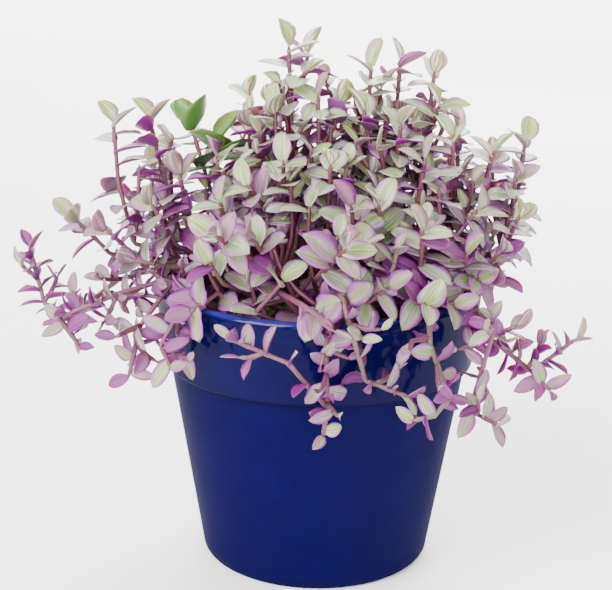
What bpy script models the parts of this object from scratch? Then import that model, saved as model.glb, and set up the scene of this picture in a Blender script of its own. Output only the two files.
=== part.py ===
"""A potted turtle vine: a glazed pot, its soil, and leafy stems that stand in holes in the soil.

Lengths are in metres and the plant's tables in millimetres. +Z is up, and the origin is the centre
of the pot's flat base. -Y is the front.
"""

import math

import bmesh
import bpy
import numpy as np
from mathutils.bvhtree import BVHTree

MM = 0.001
GAP = 0.3 * MM

# The pot: a tapered wall with a thicker band round its mouth
POT_HEIGHT = 0.123
RIM_RADIUS = 0.070
BAND_FOOT_RADIUS = 0.0668
BAND_FOOT_HEIGHT = 0.0880
NECK_RADIUS = 0.0640
BASE_RADIUS = 0.0495
WALL = 0.0045
FLOOR = 0.006
FOOT_EDGE = 0.0020
STEP_EDGE = 0.0006
LIP_WIDTH = 0.0051
LIP_DEPTH = 0.0030
MOUTH_RADIUS = RIM_RADIUS - LIP_WIDTH
NECK_DROP = 0.0040
POT_SIDES = 36

# The soil
SOIL_TOP = 0.111
SOIL_SWELL = 0.0012
SOIL_EDGE_DROP = 0.0010
SOIL_SIDES = 18
SOIL_RING = 0.55
ROOT_DEPTH = 0.008
HOLE_SIDES = 4

# Stems
SEED = 41
STEM_FOOT_RADIUS = 1.40 * MM
STEM_TIP_RADIUS = 0.95 * MM
STEM_SIDES = 3
STEM_STEP = 24 * MM
STEM_TRIES = 100
COLLAR = 3 * MM

# Where stems stand: their spacing, and how far out against their tips, more for those with a low tip
ROOT_SPACING = 9.5 * MM
ROOT_LIMIT = 0.0545
ROOT_SHARE = 0.44
LOW_ROOT_SHARE = 0.80
LOW_TIP = 0.143

# A shoot that ends over the rim or beyond bends over it, and again on its way up if it is tall
RIM_KNEE_INSET = 9 * MM
RIM_KNEE_RISE = 5 * MM
TALL_RISE = 30 * MM
TALL_KNEE = (0.90, 0.45)
TALL_KNEE_LOWEST = 24 * MM
INNER_KNEE = (0.72, 0.48)
STEM_BEND = 0.6 * MM
STEM_BEND_MORE = 0.25 * MM

# A side shoot leaves the main stem this far below its tip, and turns upwards at its knee
SIDE_START = 24 * MM
SIDE_START_SLOPE = 0.55
SIDE_KNEE = (0.68, 0.68, 0.42)
SIDE_BEND_MORE = 0.4 * MM

# Leaves: distance of each from its stem's end, angle off the stem, length
LEAF_PLACES = (0.4 * MM, 3.0 * MM, 9.0 * MM, 19.0 * MM, 30.0 * MM, 42.0 * MM)
LEAF_ANGLES = (28.0, 56.0, 70.0, 80.0, 86.0, 90.0)
LEAF_LENGTHS = (12.0 * MM, 14.5 * MM, 15.5 * MM, 15.0 * MM, 14.5 * MM, 14.0 * MM)
LEAF_ASPECT = 0.56
LEAF_THICKNESS = 0.75 * MM
LEAF_FOOT = 0.8 * LEAF_THICKNESS
LEAF_ROWS = ((0.34, 0.98), (0.70, 0.72))
YOUNG_ROWS = ((0.42, 0.90),)
CLOSED_FOLD = 0.75
OPEN_FOLD = (0.22, 0.5)
OPEN_DROOP = (0.05, 0.25)
LEAVES_ALONE = 5
LEAVES_ON_MAIN = 4
LEAVES_ON_SIDE = 3
LEAVES_ON_TRAIL = (6, 3)
LIGHT = (0.8, 1.1)
TURN_TRIES = (0, 16, -16, 34, -34, 56, -56, 80, -80)
ANGLE_TRIES = (0, -14, 14, -28)
SMALL_LEAF = 0.7
SMALL_TURN_TRIES = (0, 40, -40, 90, -90, 180)
SMALL_ANGLE = -10

# Leaves on trailing stems are smaller and turn up towards the light
TRAIL_LEAF_SHARE = 0.78
TRAIL_LEAF_LIFT = 0.45

# Shoots that rise: name, the top of its last leaf, then those of its side shoots, in millimetres
TOP_LEAF = 7 * MM
RISING = (
    ("crown_left", (-14, 0, 228), ((-6, 13, 224),)),
    ("crown_mid", (-19, -6, 204), ((-29, 4, 197),)),
    ("crown_front", (-1, -10, 209), ((8, -2, 206),)),
    ("spire_left", (20, 5, 220), ()),
    ("spire_mid", (33, 15, 221), ()),
    ("spire_right", (47, 10, 217), ((48, -9, 206),)),
    ("right_inner", (32, -14, 199), ((17, -9, 204),)),
    ("right_top", (62, 0, 196), ((71, -12, 188),)),
    ("right_edge", (88, 0, 190), ((80, -15, 178),)),
    ("right_low", (80, -28, 165), ((73, -36, 152),)),
    ("right_front", (42, -30, 188), ()),
    ("right_mid", (60, -35, 170), ((58, -50, 154),)),
    ("front_top", (4, -40, 187), ()),
    ("front_right", (28, -50, 174), ((12, -52, 173),)),
    ("front_fan", (39, -60, 167), ()),
    ("front_mid", (2, -68, 162), ((17, -67, 160),)),
    ("front_left", (-14, -63, 166), ()),
    ("left_front", (-31, -55, 163), ((-43, -54, 150),)),
    ("left_crown", (-15, -30, 186), ((-29, -34, 177),)),
    ("left_inner", (-43, -15, 184), ((-40, -34, 170),)),
    ("left_mid", (-58, -15, 177), ((-69, -22, 166),)),
    ("left_top", (-72, 10, 194), ()),
    ("left_tall", (-91, 0, 194), ()),
    ("left_low", (-87, -25, 159), ((-74, -38, 146),)),
    ("left_edge", (-106, 0, 156), ()),
    ("rim_left", (-50, -58, 131), ()),
    ("soil_left", (-27, -45, 139), ()),
    ("soil_mid", (-14, -59, 144), ()),
    ("rim_front", (-1, -74, 136), ()),
    ("rim_right", (12, -73, 141), ((27, -71, 146),)),
    ("rim_far", (56, -57, 135), ((42, -67, 137),)),
    ("rim_edge", (72, -38, 140), ((64, -48, 143),)),
    ("green_sprig", (-54, 9, 194), ((-43, 0, 188),)),
)

# Shoots that trail over the rim: name, points after the soil, then the points of their side shoots
TRAILING = (
    ("trail_front",
     ((-2, -60, 128), (-2, -71, 125), (-1, -76, 112), (-3, -79, 100), (-2, -79, 90), (1, -77, 82)),
     (((-3, -78, 103), (-14, -84, 115), (-25, -86, 119), (-33, -85, 122)),)),
    ("trail_star", ((12, -60, 128), (14, -71, 125), (21, -81, 115), (26, -82, 105), (31, -83, 97)),
     (((14, -73, 123), (15, -84, 124), (17, -88, 123)),)),
    ("trail_rose", ((42, -55, 129), (46, -62, 124), (43, -76, 116), (45, -80, 106), (51, -78, 97)),
     (((51, -78, 97), (44, -82, 91), (36, -82, 89)),)),
    ("trail_bow",
     ((52, -47, 130), (57, -55, 126), (59, -66, 112), (58, -70, 98), (60, -71, 86), (69, -74, 83),
      (76, -76, 87)),
     ()),
    ("trail_arm",
     ((60, -36, 130), (67, -44, 124), (75, -53, 110), (88, -52, 100), (98, -45, 98), (104, -42, 112)),
     (((88, -52, 100), (92, -60, 94)), ((75, -53, 110), (79, -53, 119)))),
    ("trail_left", ((-55, -30, 130), (-66, -36, 127), (-80, -43, 127), (-91, -46, 118), (-103, -46, 117)),
     (((-91, -46, 118), (-95, -50, 106)),)),
    ("trail_far",
     ((-62, -8, 131), (-74, -9, 127), (-93, -8, 111), (-113, -6, 99), (-119, -3, 117), (-122, 0, 134)),
     (((-93, -8, 111), (-103, -15, 118)),)),
    ("trail_drop", ((-58, -38, 130), (-66, -44, 124), (-73, -52, 110), (-75, -53, 94)),
     (((-70, -48, 117), (-80, -59, 113)),)),
    ("trail_hook", ((-48, -46, 130), (-54, -53, 124), (-63, -60, 108), (-64, -63, 97), (-57, -68, 104)), ()),
    ("trail_back", ((8, 60, 128), (12, 71, 124), (16, 80, 106), (24, 82, 90)),
     (((14, 76, 114), (3, 86, 105)),)),
    ("trail_back_left", ((-42, 46, 129), (-51, 53, 124), (-61, 63, 108), (-65, 70, 95)), ()),
    ("trail_back_right", ((52, 34, 130), (61, 40, 124), (69, 52, 110), (77, 60, 104)), ()),
)

# The shoots behind follow a rule
BACK_SHOOTS = 9
BACK_HEIGHT = 207 * MM
BACK_DROP = 58 * MM
BACK_REACH = 90 * MM
BACK_START = 12 * MM
BACK_SIDE_REACH = 17 * MM


def unit(vector):
    """The vector at length 1."""
    return vector / max(float(np.linalg.norm(vector)), 1e-9)


def smooth_line(points, step, before=None):
    """Points evenly spaced along a Catmull-Rom curve through the given points.

    Where before is given, a straight run from that point leads into the curve."""
    points = np.asarray(points, float)
    first = 2 * points[0] - points[1] if before is None else before
    ends = np.vstack([first, points, 2 * points[-1] - points[-2]])
    share = np.linspace(0, 1, 12, endpoint=False)[:, None]
    pieces = []
    for a, b, c, d in zip(ends, ends[1:], ends[2:], ends[3:]):
        pieces.append(0.5 * (2 * b + (c - a) * share + (2 * a - 5 * b + 4 * c - d) * share**2
                             + (3 * b - 3 * c + d - a) * share**3))
    fine = np.vstack([*pieces, points[-1:]])
    along = np.concatenate([[0], np.cumsum(np.linalg.norm(np.diff(fine, axis=0), axis=1))])
    count = max(3, round(along[-1] / step) + 1)
    at = np.linspace(0, along[-1], count)
    even = np.stack([np.interp(at, along, fine[:, k]) for k in range(3)], axis=1)
    return even if before is None else np.vstack([before, even])


def frames_along(line):
    """Directions along the line, and a side direction carried along it without twisting."""
    ahead = np.gradient(line, axis=0)
    ahead /= np.linalg.norm(ahead, axis=1)[:, None]
    side = unit(np.cross(ahead[0], [0.31, 0.95, 0.05]))
    sides = []
    for direction in ahead:
        side = unit(side - direction * (side @ direction))
        sides.append(side)
    return ahead, np.array(sides)


def tube(line, first_radius, last_radius, sides):
    """A closed tube along a line, as points and faces that point outwards. Its sides are triangles."""
    ahead, side = frames_along(line)
    over = np.cross(ahead, side)
    turn = np.arange(sides) * 2 * math.pi / sides
    radius = np.linspace(first_radius, last_radius, len(line))[:, None, None]
    ring = np.cos(turn)[None, :, None] * side[:, None, :] + np.sin(turn)[None, :, None] * over[:, None, :]
    points = (line[:, None, :] + radius * ring).reshape(-1, 3)
    faces = [tuple(range(sides))[::-1], tuple((len(line) - 1) * sides + k for k in range(sides))]
    for row in range(len(line) - 1):
        for k in range(sides):
            a, b = row * sides + k, row * sides + (k + 1) % sides
            faces += [(a, b, b + sides), (a, b + sides, a + sides)]
    return points, faces


def place_on(line, from_end):
    """The point, direction and side direction at a distance back from a line's end."""
    ahead, side = frames_along(line)
    along = np.concatenate([[0], np.cumsum(np.linalg.norm(np.diff(line, axis=0), axis=1))])
    at = max(along[-1] - from_end, 0.0)
    point = np.array([np.interp(at, along, line[:, k]) for k in range(3)])
    nearest = min(int(np.searchsorted(along, at)), len(line) - 1)
    return point, ahead[nearest], side[nearest]


def blade(root, out, upper, length, fold, droop, young=False, grow=0.0):
    """A leaf as a closed solid, with each face folded along a midrib from its root to its tip.

    The outline is ovate and widest before the middle, and a young leaf has one row across, not two.
    Both halves rise from the midrib, which bends down with the square of the distance. grow makes
    it that much larger on every side."""
    across = np.cross(upper, out)
    rows = YOUNG_ROWS if young else LEAF_ROWS
    tip = root + out * (length + grow) - upper * droop * length
    foot = upper * (LEAF_FOOT / 2 + grow)
    points = [root + foot, root - foot, tip]
    for lift in (LEAF_THICKNESS / 2 + grow, -LEAF_THICKNESS / 2 - grow):
        for k, (share, wide) in enumerate(rows):
            middle = root + out * length * share + upper * (lift - droop * length * share**2)
            half = 0.5 * LEAF_ASPECT * length * wide + grow
            if k == 0:
                points.append(middle)
            raised = middle + upper * fold * half
            points += [raised + across * half, raised - across * half]
    under = 1 + 2 * len(rows)
    if young:
        above = [(0, 3, 4), (0, 5, 3), (3, 2, 4), (3, 5, 2)]
        edges = [(4, 2, 4 + under), (5, 5 + under, 2)]
    else:
        above = [(0, 3, 4), (0, 5, 3), (4, 3, 6), (3, 5, 7), (3, 2, 6), (3, 7, 2)]
        edges = [(4, 6, 6 + under, 4 + under), (5, 5 + under, 7 + under, 7)]
        edges += [(6, 2, 6 + under), (7, 7 + under, 2)]
    below = [tuple({0: 1, 2: 2}.get(k, k + under) for k in face[::-1]) for face in above]
    edges += [(0, 4, 4 + under, 1), (0, 1, 5 + under, 5)]
    return np.array(points), above + below + edges


class Crowd:
    """Everything placed so far, each a little larger than life, for finding what a new piece would cross."""

    def __init__(self):
        self.low, self.high, self.trees, self.owners = [], [], [], []

    def add(self, points, faces, owner):
        self.low.append(points.min(axis=0))
        self.high.append(points.max(axis=0))
        self.trees.append(BVHTree.FromPolygons(points.tolist(), faces))
        self.owners.append(owner)

    def clear(self, points, faces, skip=()):
        """True where the piece crosses nothing, apart from pieces whose owner is in skip."""
        begins_before = np.array(self.low) <= points.max(axis=0)
        ends_after = np.array(self.high) >= points.min(axis=0)
        near = (begins_before & ends_after).all(axis=1)
        found = [k for k in np.flatnonzero(near) if self.owners[k] not in skip]
        if not found:
            return True
        tree = BVHTree.FromPolygons(points.tolist(), faces)
        return not any(tree.overlap(self.trees[k]) for k in found)


def outside_radius(height):
    """The radius of the pot's outside at a height."""
    return np.interp(height, (0, BAND_FOOT_HEIGHT, BAND_FOOT_HEIGHT + 2 * STEP_EDGE, POT_HEIGHT),
                     (BASE_RADIUS, NECK_RADIUS, BAND_FOOT_RADIUS, RIM_RADIUS))


def above_soil(points):
    """True where every point inside the pot's mouth is above the soil, and none is within the pot's wall."""
    away = np.hypot(points[:, 0], points[:, 1])
    low = points[:, 2] < SOIL_TOP + 2 * SOIL_SWELL
    in_pot = (away < RIM_RADIUS + GAP) & (points[:, 2] < POT_HEIGHT + GAP)
    in_mouth = (away < RIM_RADIUS - 2 * WALL) & ~low
    beside = away > outside_radius(points[:, 2]) + GAP
    return bool((~in_pot | in_mouth | beside).all())


def spread_roots(wanted):
    """Moves the wanted root places apart until none is nearer to another than the root spacing."""
    places = np.array(wanted)
    itself = np.eye(len(places))
    for _ in range(300):
        apart = places[:, None] - places[None]
        distance = np.linalg.norm(apart, axis=2) + itself
        push = np.where(distance < ROOT_SPACING, (ROOT_SPACING - distance) / distance, 0) * (1 - itself)
        places = places + 0.25 * (push[:, :, None] * apart).sum(axis=1)
        away = np.linalg.norm(places, axis=1)[:, None]
        places = np.where(away > ROOT_LIMIT, places * ROOT_LIMIT / away, places)
    return places


def back_shoots():
    """The shoots behind, on a golden-angle spiral over the dome's back half, each with one side shoot."""
    found = []
    for k in range(BACK_SHOOTS):
        share = math.sqrt((k + 0.7) / BACK_SHOOTS)
        angle = math.radians(6 + (k * 137.508) % 168)
        outward = np.array([math.cos(angle), math.sin(angle), 0])
        tip = share * BACK_REACH * outward + [0, BACK_START, BACK_HEIGHT - BACK_DROP * share**2]
        aside = (-1) ** k * np.cross([0, 0, 1], outward) + 0.3 * outward
        found.append((f"back_{k + 1:02d}", [tip], [[tip + BACK_SIDE_REACH * (aside - [0, 0, 0.9])]]))
    return found


def plant_plan():
    """Every shoot as (name, points after the soil, side shoots), where a side shoot is its own points."""
    plan = [(name, list(np.array(points) * MM), [list(np.array(side) * MM) for side in sides])
            for name, points, sides in TRAILING]
    top_leaf = np.array([0, 0, TOP_LEAF])
    plan += [(name, [np.array(tip) * MM - top_leaf], [[np.array(side) * MM - top_leaf] for side in sides])
             for name, tip, sides in RISING]
    return plan + back_shoots()


def route_of(root, points):
    """A shoot's route: its foot, its collar, a knee or two where only the tip is given, and its points."""
    route = [np.array([*root, SOIL_TOP - ROOT_DEPTH]), np.array([*root, SOIL_TOP + COLLAR])]
    tip = points[0]
    rise = tip[2] - SOIL_TOP
    reach = float(np.hypot(*tip[:2]))
    if len(points) == 1 and reach > RIM_RADIUS - RIM_KNEE_INSET:
        over_rim = tip[:2] / reach * (RIM_RADIUS - RIM_KNEE_INSET)
        route.append(np.array([*over_rim, POT_HEIGHT + RIM_KNEE_RISE]))
        if rise > TALL_RISE:
            height = max(TALL_KNEE[1] * rise, TALL_KNEE_LOWEST)
            route.append(np.array([*tip[:2] * TALL_KNEE[0], SOIL_TOP + height]))
    elif len(points) == 1:
        route.append(np.array([*(root + (tip[:2] - root) * INNER_KNEE[0]), SOIL_TOP + INNER_KNEE[1] * rise]))
    return route + list(points)


def bent(route, amount, rng):
    """The route with its middle points moved sideways by a random amount, and its tip by half as much."""
    moved = [np.array(point) for point in route]
    for k in range(2, len(moved)):
        share = 0.5 if k == len(moved) - 1 else 1.0
        moved[k] = moved[k] + rng.normal(0, 1, 3) * amount * share * np.array([1, 1, 0.5])
    return moved


def stem_line(route, crowd, rng):
    """The first bend of the route whose stem is clear of the pot and of every other stem."""
    for attempt in range(STEM_TRIES):
        moved = bent(route, STEM_BEND + STEM_BEND_MORE * attempt, rng)
        line = smooth_line(moved[1:], STEM_STEP, before=moved[0])
        points, faces = tube(line, STEM_FOOT_RADIUS + GAP, STEM_TIP_RADIUS + GAP, STEM_SIDES)
        if above_soil(points[STEM_SIDES:]) and crowd.clear(points, faces):
            return line
    return None


def grow_stems(crowd):
    """Every stem line, as {name: [main, side, ...]}, in an order that lays the trailing stems first."""
    plan = plant_plan()
    roots = []
    for _, points, _ in plan:
        share = ROOT_SHARE if len(points) == 1 and points[0][2] > LOW_TIP else LOW_ROOT_SHARE
        wanted = points[0][:2] * share
        roots.append(wanted * min(1, ROOT_LIMIT / max(np.hypot(*wanted), 1e-6)))
    roots = spread_roots(roots)
    stems = {}
    for number, ((name, points, sides), root) in enumerate(zip(plan, roots)):
        rng = np.random.default_rng((SEED, number))
        main = stem_line(route_of(root, points), crowd, rng)
        if main is None:
            print("no clear way for", name)
            continue
        crowd.add(*tube(main, STEM_FOOT_RADIUS + GAP, STEM_TIP_RADIUS + GAP, STEM_SIDES), name)
        stems[name] = [main]
        for side in sides:
            stems[name] += side_stem(name, main, side, crowd, rng)
    return stems


def side_stem(name, main, points, crowd, rng):
    """A side shoot as a list of one line, or of none where no way is clear. It starts on the main stem."""
    target = points[-1]
    if len(points) > 1:
        start = main[np.argmin(np.linalg.norm(main[1:] - points[0], axis=1)) + 1]
        middle = points[1:-1] or [0.5 * (start + target)]
    else:
        drop = SIDE_START_SLOPE * np.linalg.norm(target - main[-1]) + SIDE_START
        start = main[2:][np.argmin(np.abs(np.linalg.norm(main[2:] - main[-1], axis=1) - drop))]
        middle = [start + (target - start) * np.array(SIDE_KNEE)]
    route = [start, *middle, target]
    for attempt in range(STEM_TRIES):
        moved = [route[0], *bent([route[0], *route], attempt * SIDE_BEND_MORE, rng)[2:]]
        line = smooth_line(moved, STEM_STEP)
        shape = tube(line, STEM_TIP_RADIUS + GAP, STEM_TIP_RADIUS + GAP, STEM_SIDES)
        if above_soil(shape[0]) and crowd.clear(*shape, (name,)):
            crowd.add(*shape, name)
            return [line]
    print("no clear side shoot on", name)
    return []


def leaf_tries(rng, order):
    """Angles for one leaf, best first: turn round the stem, angle off it, and share of its full length."""
    turn = 180 * order + rng.normal(0, 14)
    angle = LEAF_ANGLES[order] + rng.normal(0, 7)
    size = rng.uniform(0.86, 1.06)
    for wider in TURN_TRIES:
        for steeper in ANGLE_TRIES:
            yield math.radians(turn + wider), math.radians(angle + steeper), size
    for wider in SMALL_TURN_TRIES:
        yield math.radians(turn + wider), math.radians(angle + SMALL_ANGLE), SMALL_LEAF * size


def facing_light(root, out, upper):
    """A blade's upper side, turned round its midrib towards the light that comes from above and outside."""
    light = np.array([*unit(root[:2]) * LIGHT[0], LIGHT[1]])
    upper = upper + light
    return unit(upper - out * (upper @ out))


def grow_leaf(line, order, twist, crowd, rng, owner):
    """The first try at a leaf that is clear of everything, as (points, faces), or None."""
    if LEAF_PLACES[order] > 0.8 * np.linalg.norm(np.diff(line, axis=0), axis=1).sum():
        return None
    root, ahead, side = place_on(line, LEAF_PLACES[order])
    over = np.cross(ahead, side)
    fold = CLOSED_FOLD if order == 0 else rng.uniform(*OPEN_FOLD)
    droop = 0.0 if order == 0 else rng.uniform(*OPEN_DROOP)
    trails = owner.startswith("trail")
    lift = np.array([0, 0, TRAIL_LEAF_LIFT if trails else 0])
    share = TRAIL_LEAF_SHARE if trails else 1
    for turn, angle, size in leaf_tries(rng, order):
        outward = math.cos(turn + twist) * side + math.sin(turn + twist) * over
        out = unit(math.cos(angle) * ahead + math.sin(angle) * outward + lift)
        upper = math.sin(angle) * ahead - math.cos(angle) * outward
        upper = facing_light(root, out, upper)
        length = LEAF_LENGTHS[order] * size * share
        larger, faces = blade(root, out, upper, length, fold, droop, order < 2, grow=0.5 * GAP)
        if above_soil(larger[2:]) and crowd.clear(larger, faces, (owner,)):
            crowd.add(larger, faces, f"{owner} leaves")
            return blade(root, out, upper, length, fold, droop, order < 2)
    return None


def leaf_count(name, k, lines):
    """The number of leaves on stem k of a shoot with this many stems."""
    if name.startswith("trail"):
        return LEAVES_ON_TRAIL[min(k, 1)]
    if lines == 1:
        return LEAVES_ALONE
    return LEAVES_ON_SIDE if k else LEAVES_ON_MAIN


def grow_leaves(stems, crowd):
    """The leaves of every shoot, as {name: [(points, faces), ...]}, those at the stems' ends first."""
    leaves = {name: [] for name in stems}
    for order in range(max(LEAVES_ALONE, *LEAVES_ON_TRAIL)):
        for number, (name, lines) in enumerate(stems.items()):
            for k, line in enumerate(lines):
                if order >= leaf_count(name, k, len(lines)):
                    continue
                rng = np.random.default_rng((SEED, number, k, order))
                twist = np.random.default_rng((SEED, number, k)).uniform(0, 2 * math.pi)
                leaf = grow_leaf(line, order, twist, crowd, rng, name)
                if leaf:
                    leaves[name].append(leaf)
    return leaves


def material(name, colour, roughness, coat=0.0):
    """A Principled material."""
    made = bpy.data.materials.new(name)
    made.use_nodes = True
    shader = made.node_tree.nodes["Principled BSDF"]
    shader.inputs["Base Color"].default_value = (*colour, 1)
    shader.inputs["Roughness"].default_value = roughness
    shader.inputs["Metallic"].default_value = 0.0
    shader.inputs["Coat Weight"].default_value = coat
    return made


def mesh_object(name, points, faces, finish=None):
    """A mesh object from points and faces."""
    mesh = bpy.data.meshes.new(name)
    mesh.from_pydata([tuple(map(float, p)) for p in points], [], [tuple(map(int, f)) for f in faces])
    mesh.update()
    obj = bpy.data.objects.new(name, mesh)
    bpy.context.scene.collection.objects.link(obj)
    if finish:
        mesh.materials.append(finish)
    return obj


def turned(profile, sides):
    """A solid turned round Z from (radius, height) points, which run up the outside from axis to axis."""
    work = bmesh.new()
    chain = [work.verts.new((radius, 0, height)) for radius, height in profile]
    edges = [work.edges.new(pair) for pair in zip(chain, chain[1:])]
    bmesh.ops.spin(work, geom=chain + edges, axis=(0, 0, 1), cent=(0, 0, 0), steps=sides, angle=2 * math.pi,
                   use_merge=True)
    bmesh.ops.remove_doubles(work, verts=work.verts, dist=1e-6)
    bmesh.ops.recalc_face_normals(work, faces=work.faces)
    return work


def lip_points():
    """The rounded lip from the outside over to the mouth, as half an ellipse of (radius, height) points."""
    half = LIP_WIDTH / 2
    centre = RIM_RADIUS - half
    foot = POT_HEIGHT - LIP_DEPTH
    turns = np.radians((0, 45, 90, 135, 180))
    return [(centre + half * math.cos(turn), foot + LIP_DEPTH * math.sin(turn)) for turn in turns]


def make_pot(glaze):
    """The pot: flat base, tapered wall, the step under the band, the band, its rounded lip and the hollow."""
    profile = (
        (0, 0), (BASE_RADIUS - FOOT_EDGE, 0), (BASE_RADIUS, FOOT_EDGE),
        (NECK_RADIUS, BAND_FOOT_HEIGHT - STEP_EDGE), (BAND_FOOT_RADIUS - STEP_EDGE, BAND_FOOT_HEIGHT),
        (BAND_FOOT_RADIUS, BAND_FOOT_HEIGHT + 2 * STEP_EDGE), *lip_points(),
        (NECK_RADIUS - WALL, BAND_FOOT_HEIGHT - NECK_DROP), (BASE_RADIUS - WALL, FLOOR), (0, FLOOR),
    )
    work = turned(profile, POT_SIDES)
    mesh = bpy.data.meshes.new("pot")
    work.to_mesh(mesh)
    work.free()
    mesh.materials.append(glaze)
    mesh.shade_smooth()
    mesh.set_sharp_from_angle(angle=math.radians(40))
    pot = bpy.data.objects.new("pot", mesh)
    bpy.context.scene.collection.objects.link(pot)
    return pot


def soil_ring(height, turn):
    """The soil's edge at a height, as (x, y) rows: the pot's hollow less a small gap."""
    hollow = np.interp(height, (FLOOR, BAND_FOOT_HEIGHT - NECK_DROP, POT_HEIGHT - LIP_DEPTH),
                       (BASE_RADIUS - WALL, NECK_RADIUS - WALL, MOUTH_RADIUS))
    radius = hollow * math.cos(math.pi / POT_SIDES) - 1.5 * GAP
    return np.stack([np.cos(turn), np.sin(turn)], axis=1) * radius


def soil_body():
    """The soil without its holes, as points and faces: rings up the hollow, and one on the low uneven top."""
    turn = np.arange(SOIL_SIDES) * 2 * math.pi / SOIL_SIDES
    heights = (FLOOR + GAP, BAND_FOOT_HEIGHT - NECK_DROP, SOIL_TOP - SOIL_EDGE_DROP)
    rings = [np.column_stack([soil_ring(height, turn), np.full(SOIL_SIDES, height)]) for height in heights]
    swell = SOIL_TOP + SOIL_SWELL * np.sin(3 * turn + 9 * SOIL_RING) * (0.4 + SOIL_RING)
    rings.append(np.column_stack([rings[-1][:, :2] * SOIL_RING, swell]))
    points = np.vstack([*rings, [(0, 0, SOIL_TOP + SOIL_SWELL), (0, 0, FLOOR + GAP)]])
    top, bottom, last = len(points) - 2, len(points) - 1, (len(rings) - 1) * SOIL_SIDES
    faces = []
    for k in range(SOIL_SIDES):
        after = (k + 1) % SOIL_SIDES
        faces += [(last + k, last + after, top), (after, k, bottom)]
        for row in range(len(rings) - 1):
            a, b = row * SOIL_SIDES + k, row * SOIL_SIDES + after
            faces += [(a, b, b + SOIL_SIDES), (a, b + SOIL_SIDES, a + SOIL_SIDES)]
    return points, faces


def make_soil(stems, earth):
    """The soil fills the pot, with a plain hole round each stem's foot."""
    soil = mesh_object("soil", *soil_body(), earth)
    holes = bpy.data.collections.new("holes")
    radius = (STEM_FOOT_RADIUS + GAP) / math.cos(math.pi / HOLE_SIDES)
    for name, lines in stems.items():
        bottom = lines[0][0] - [0, 0, GAP]
        top = lines[0][0] + [0, 0, ROOT_DEPTH + COLLAR]
        drill = mesh_object(f"hole_{name}", *tube(np.array([bottom, top]), radius, radius, HOLE_SIDES))
        bpy.context.scene.collection.objects.unlink(drill)
        holes.objects.link(drill)
    apply_boolean(soil, holes, "DIFFERENCE")
    return soil


def apply_boolean(obj, others, operation):
    """One Boolean with a whole collection, applied, after which the collection's objects are removed."""
    bpy.context.scene.collection.children.link(others)
    step = obj.modifiers.new("join", "BOOLEAN")
    step.operation = operation
    step.operand_type = "COLLECTION"
    step.collection = others
    step.solver = "MANIFOLD"
    graph = bpy.context.evaluated_depsgraph_get()
    made = bpy.data.meshes.new_from_object(obj.evaluated_get(graph))
    obj.modifiers.clear()
    old, obj.data = obj.data, made
    bpy.data.meshes.remove(old)
    for other in list(others.objects):
        bpy.data.objects.remove(other)
    bpy.data.collections.remove(others)


def make_shoot(name, lines, leaves, finish):
    """A rooted stem with its side shoots and leaves, joined in one solid."""
    shoot = mesh_object(name, *tube(lines[0], STEM_FOOT_RADIUS, STEM_TIP_RADIUS, STEM_SIDES), finish)
    others = bpy.data.collections.new("others")
    shapes = [tube(line, STEM_TIP_RADIUS, STEM_TIP_RADIUS, STEM_SIDES) for line in lines[1:]] + leaves
    for shape in shapes:
        other = mesh_object("joined", *shape)
        bpy.context.scene.collection.objects.unlink(other)
        others.objects.link(other)
    apply_boolean(shoot, others, "UNION")
    return shoot


def finish_of(name, finishes):
    """The material of a shoot, by its place on the plant."""
    if name == "green_sprig":
        return finishes["green"]
    low = name.startswith(("trail", "rim", "soil"))
    return finishes["pink"] if low else finishes["pale"]


def main():
    for obj in list(bpy.data.objects):
        bpy.data.objects.remove(obj)
    glaze = material("cobalt_glaze", (0.006, 0.009, 0.13), 0.16, coat=0.4)
    earth = material("potting_soil", (0.055, 0.038, 0.028), 0.95)
    finishes = {
        "pale": material("pale_leaf", (0.58, 0.58, 0.42), 0.5),
        "pink": material("pink_leaf", (0.52, 0.26, 0.44), 0.5),
        "green": material("green_leaf", (0.09, 0.22, 0.06), 0.45),
    }
    pot = make_pot(glaze)
    crowd = Crowd()
    pot_points = np.array([tuple(v.co) for v in pot.data.vertices])
    crowd.add(pot_points, [tuple(f.vertices) for f in pot.data.polygons], "pot")
    stems = grow_stems(crowd)
    leaves = grow_leaves(stems, crowd)
    make_soil(stems, earth)
    for name, lines in stems.items():
        make_shoot(name, lines, leaves[name], finish_of(name, finishes))


main()
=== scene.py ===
"""A potted turtle vine: fine leaves, stems, soil and glaze in the place of its solid pieces.

Lengths are in metres and the plant's tables in millimetres. The stems and main leaves are grown by
the solid plant's own rule, so that they lie in their solids, and more are grown between them.
"""

import math
from typing import NamedTuple

import bmesh
import bpy
import numpy as np
from mathutils import Matrix, Vector
from mathutils.bvhtree import BVHTree


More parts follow.
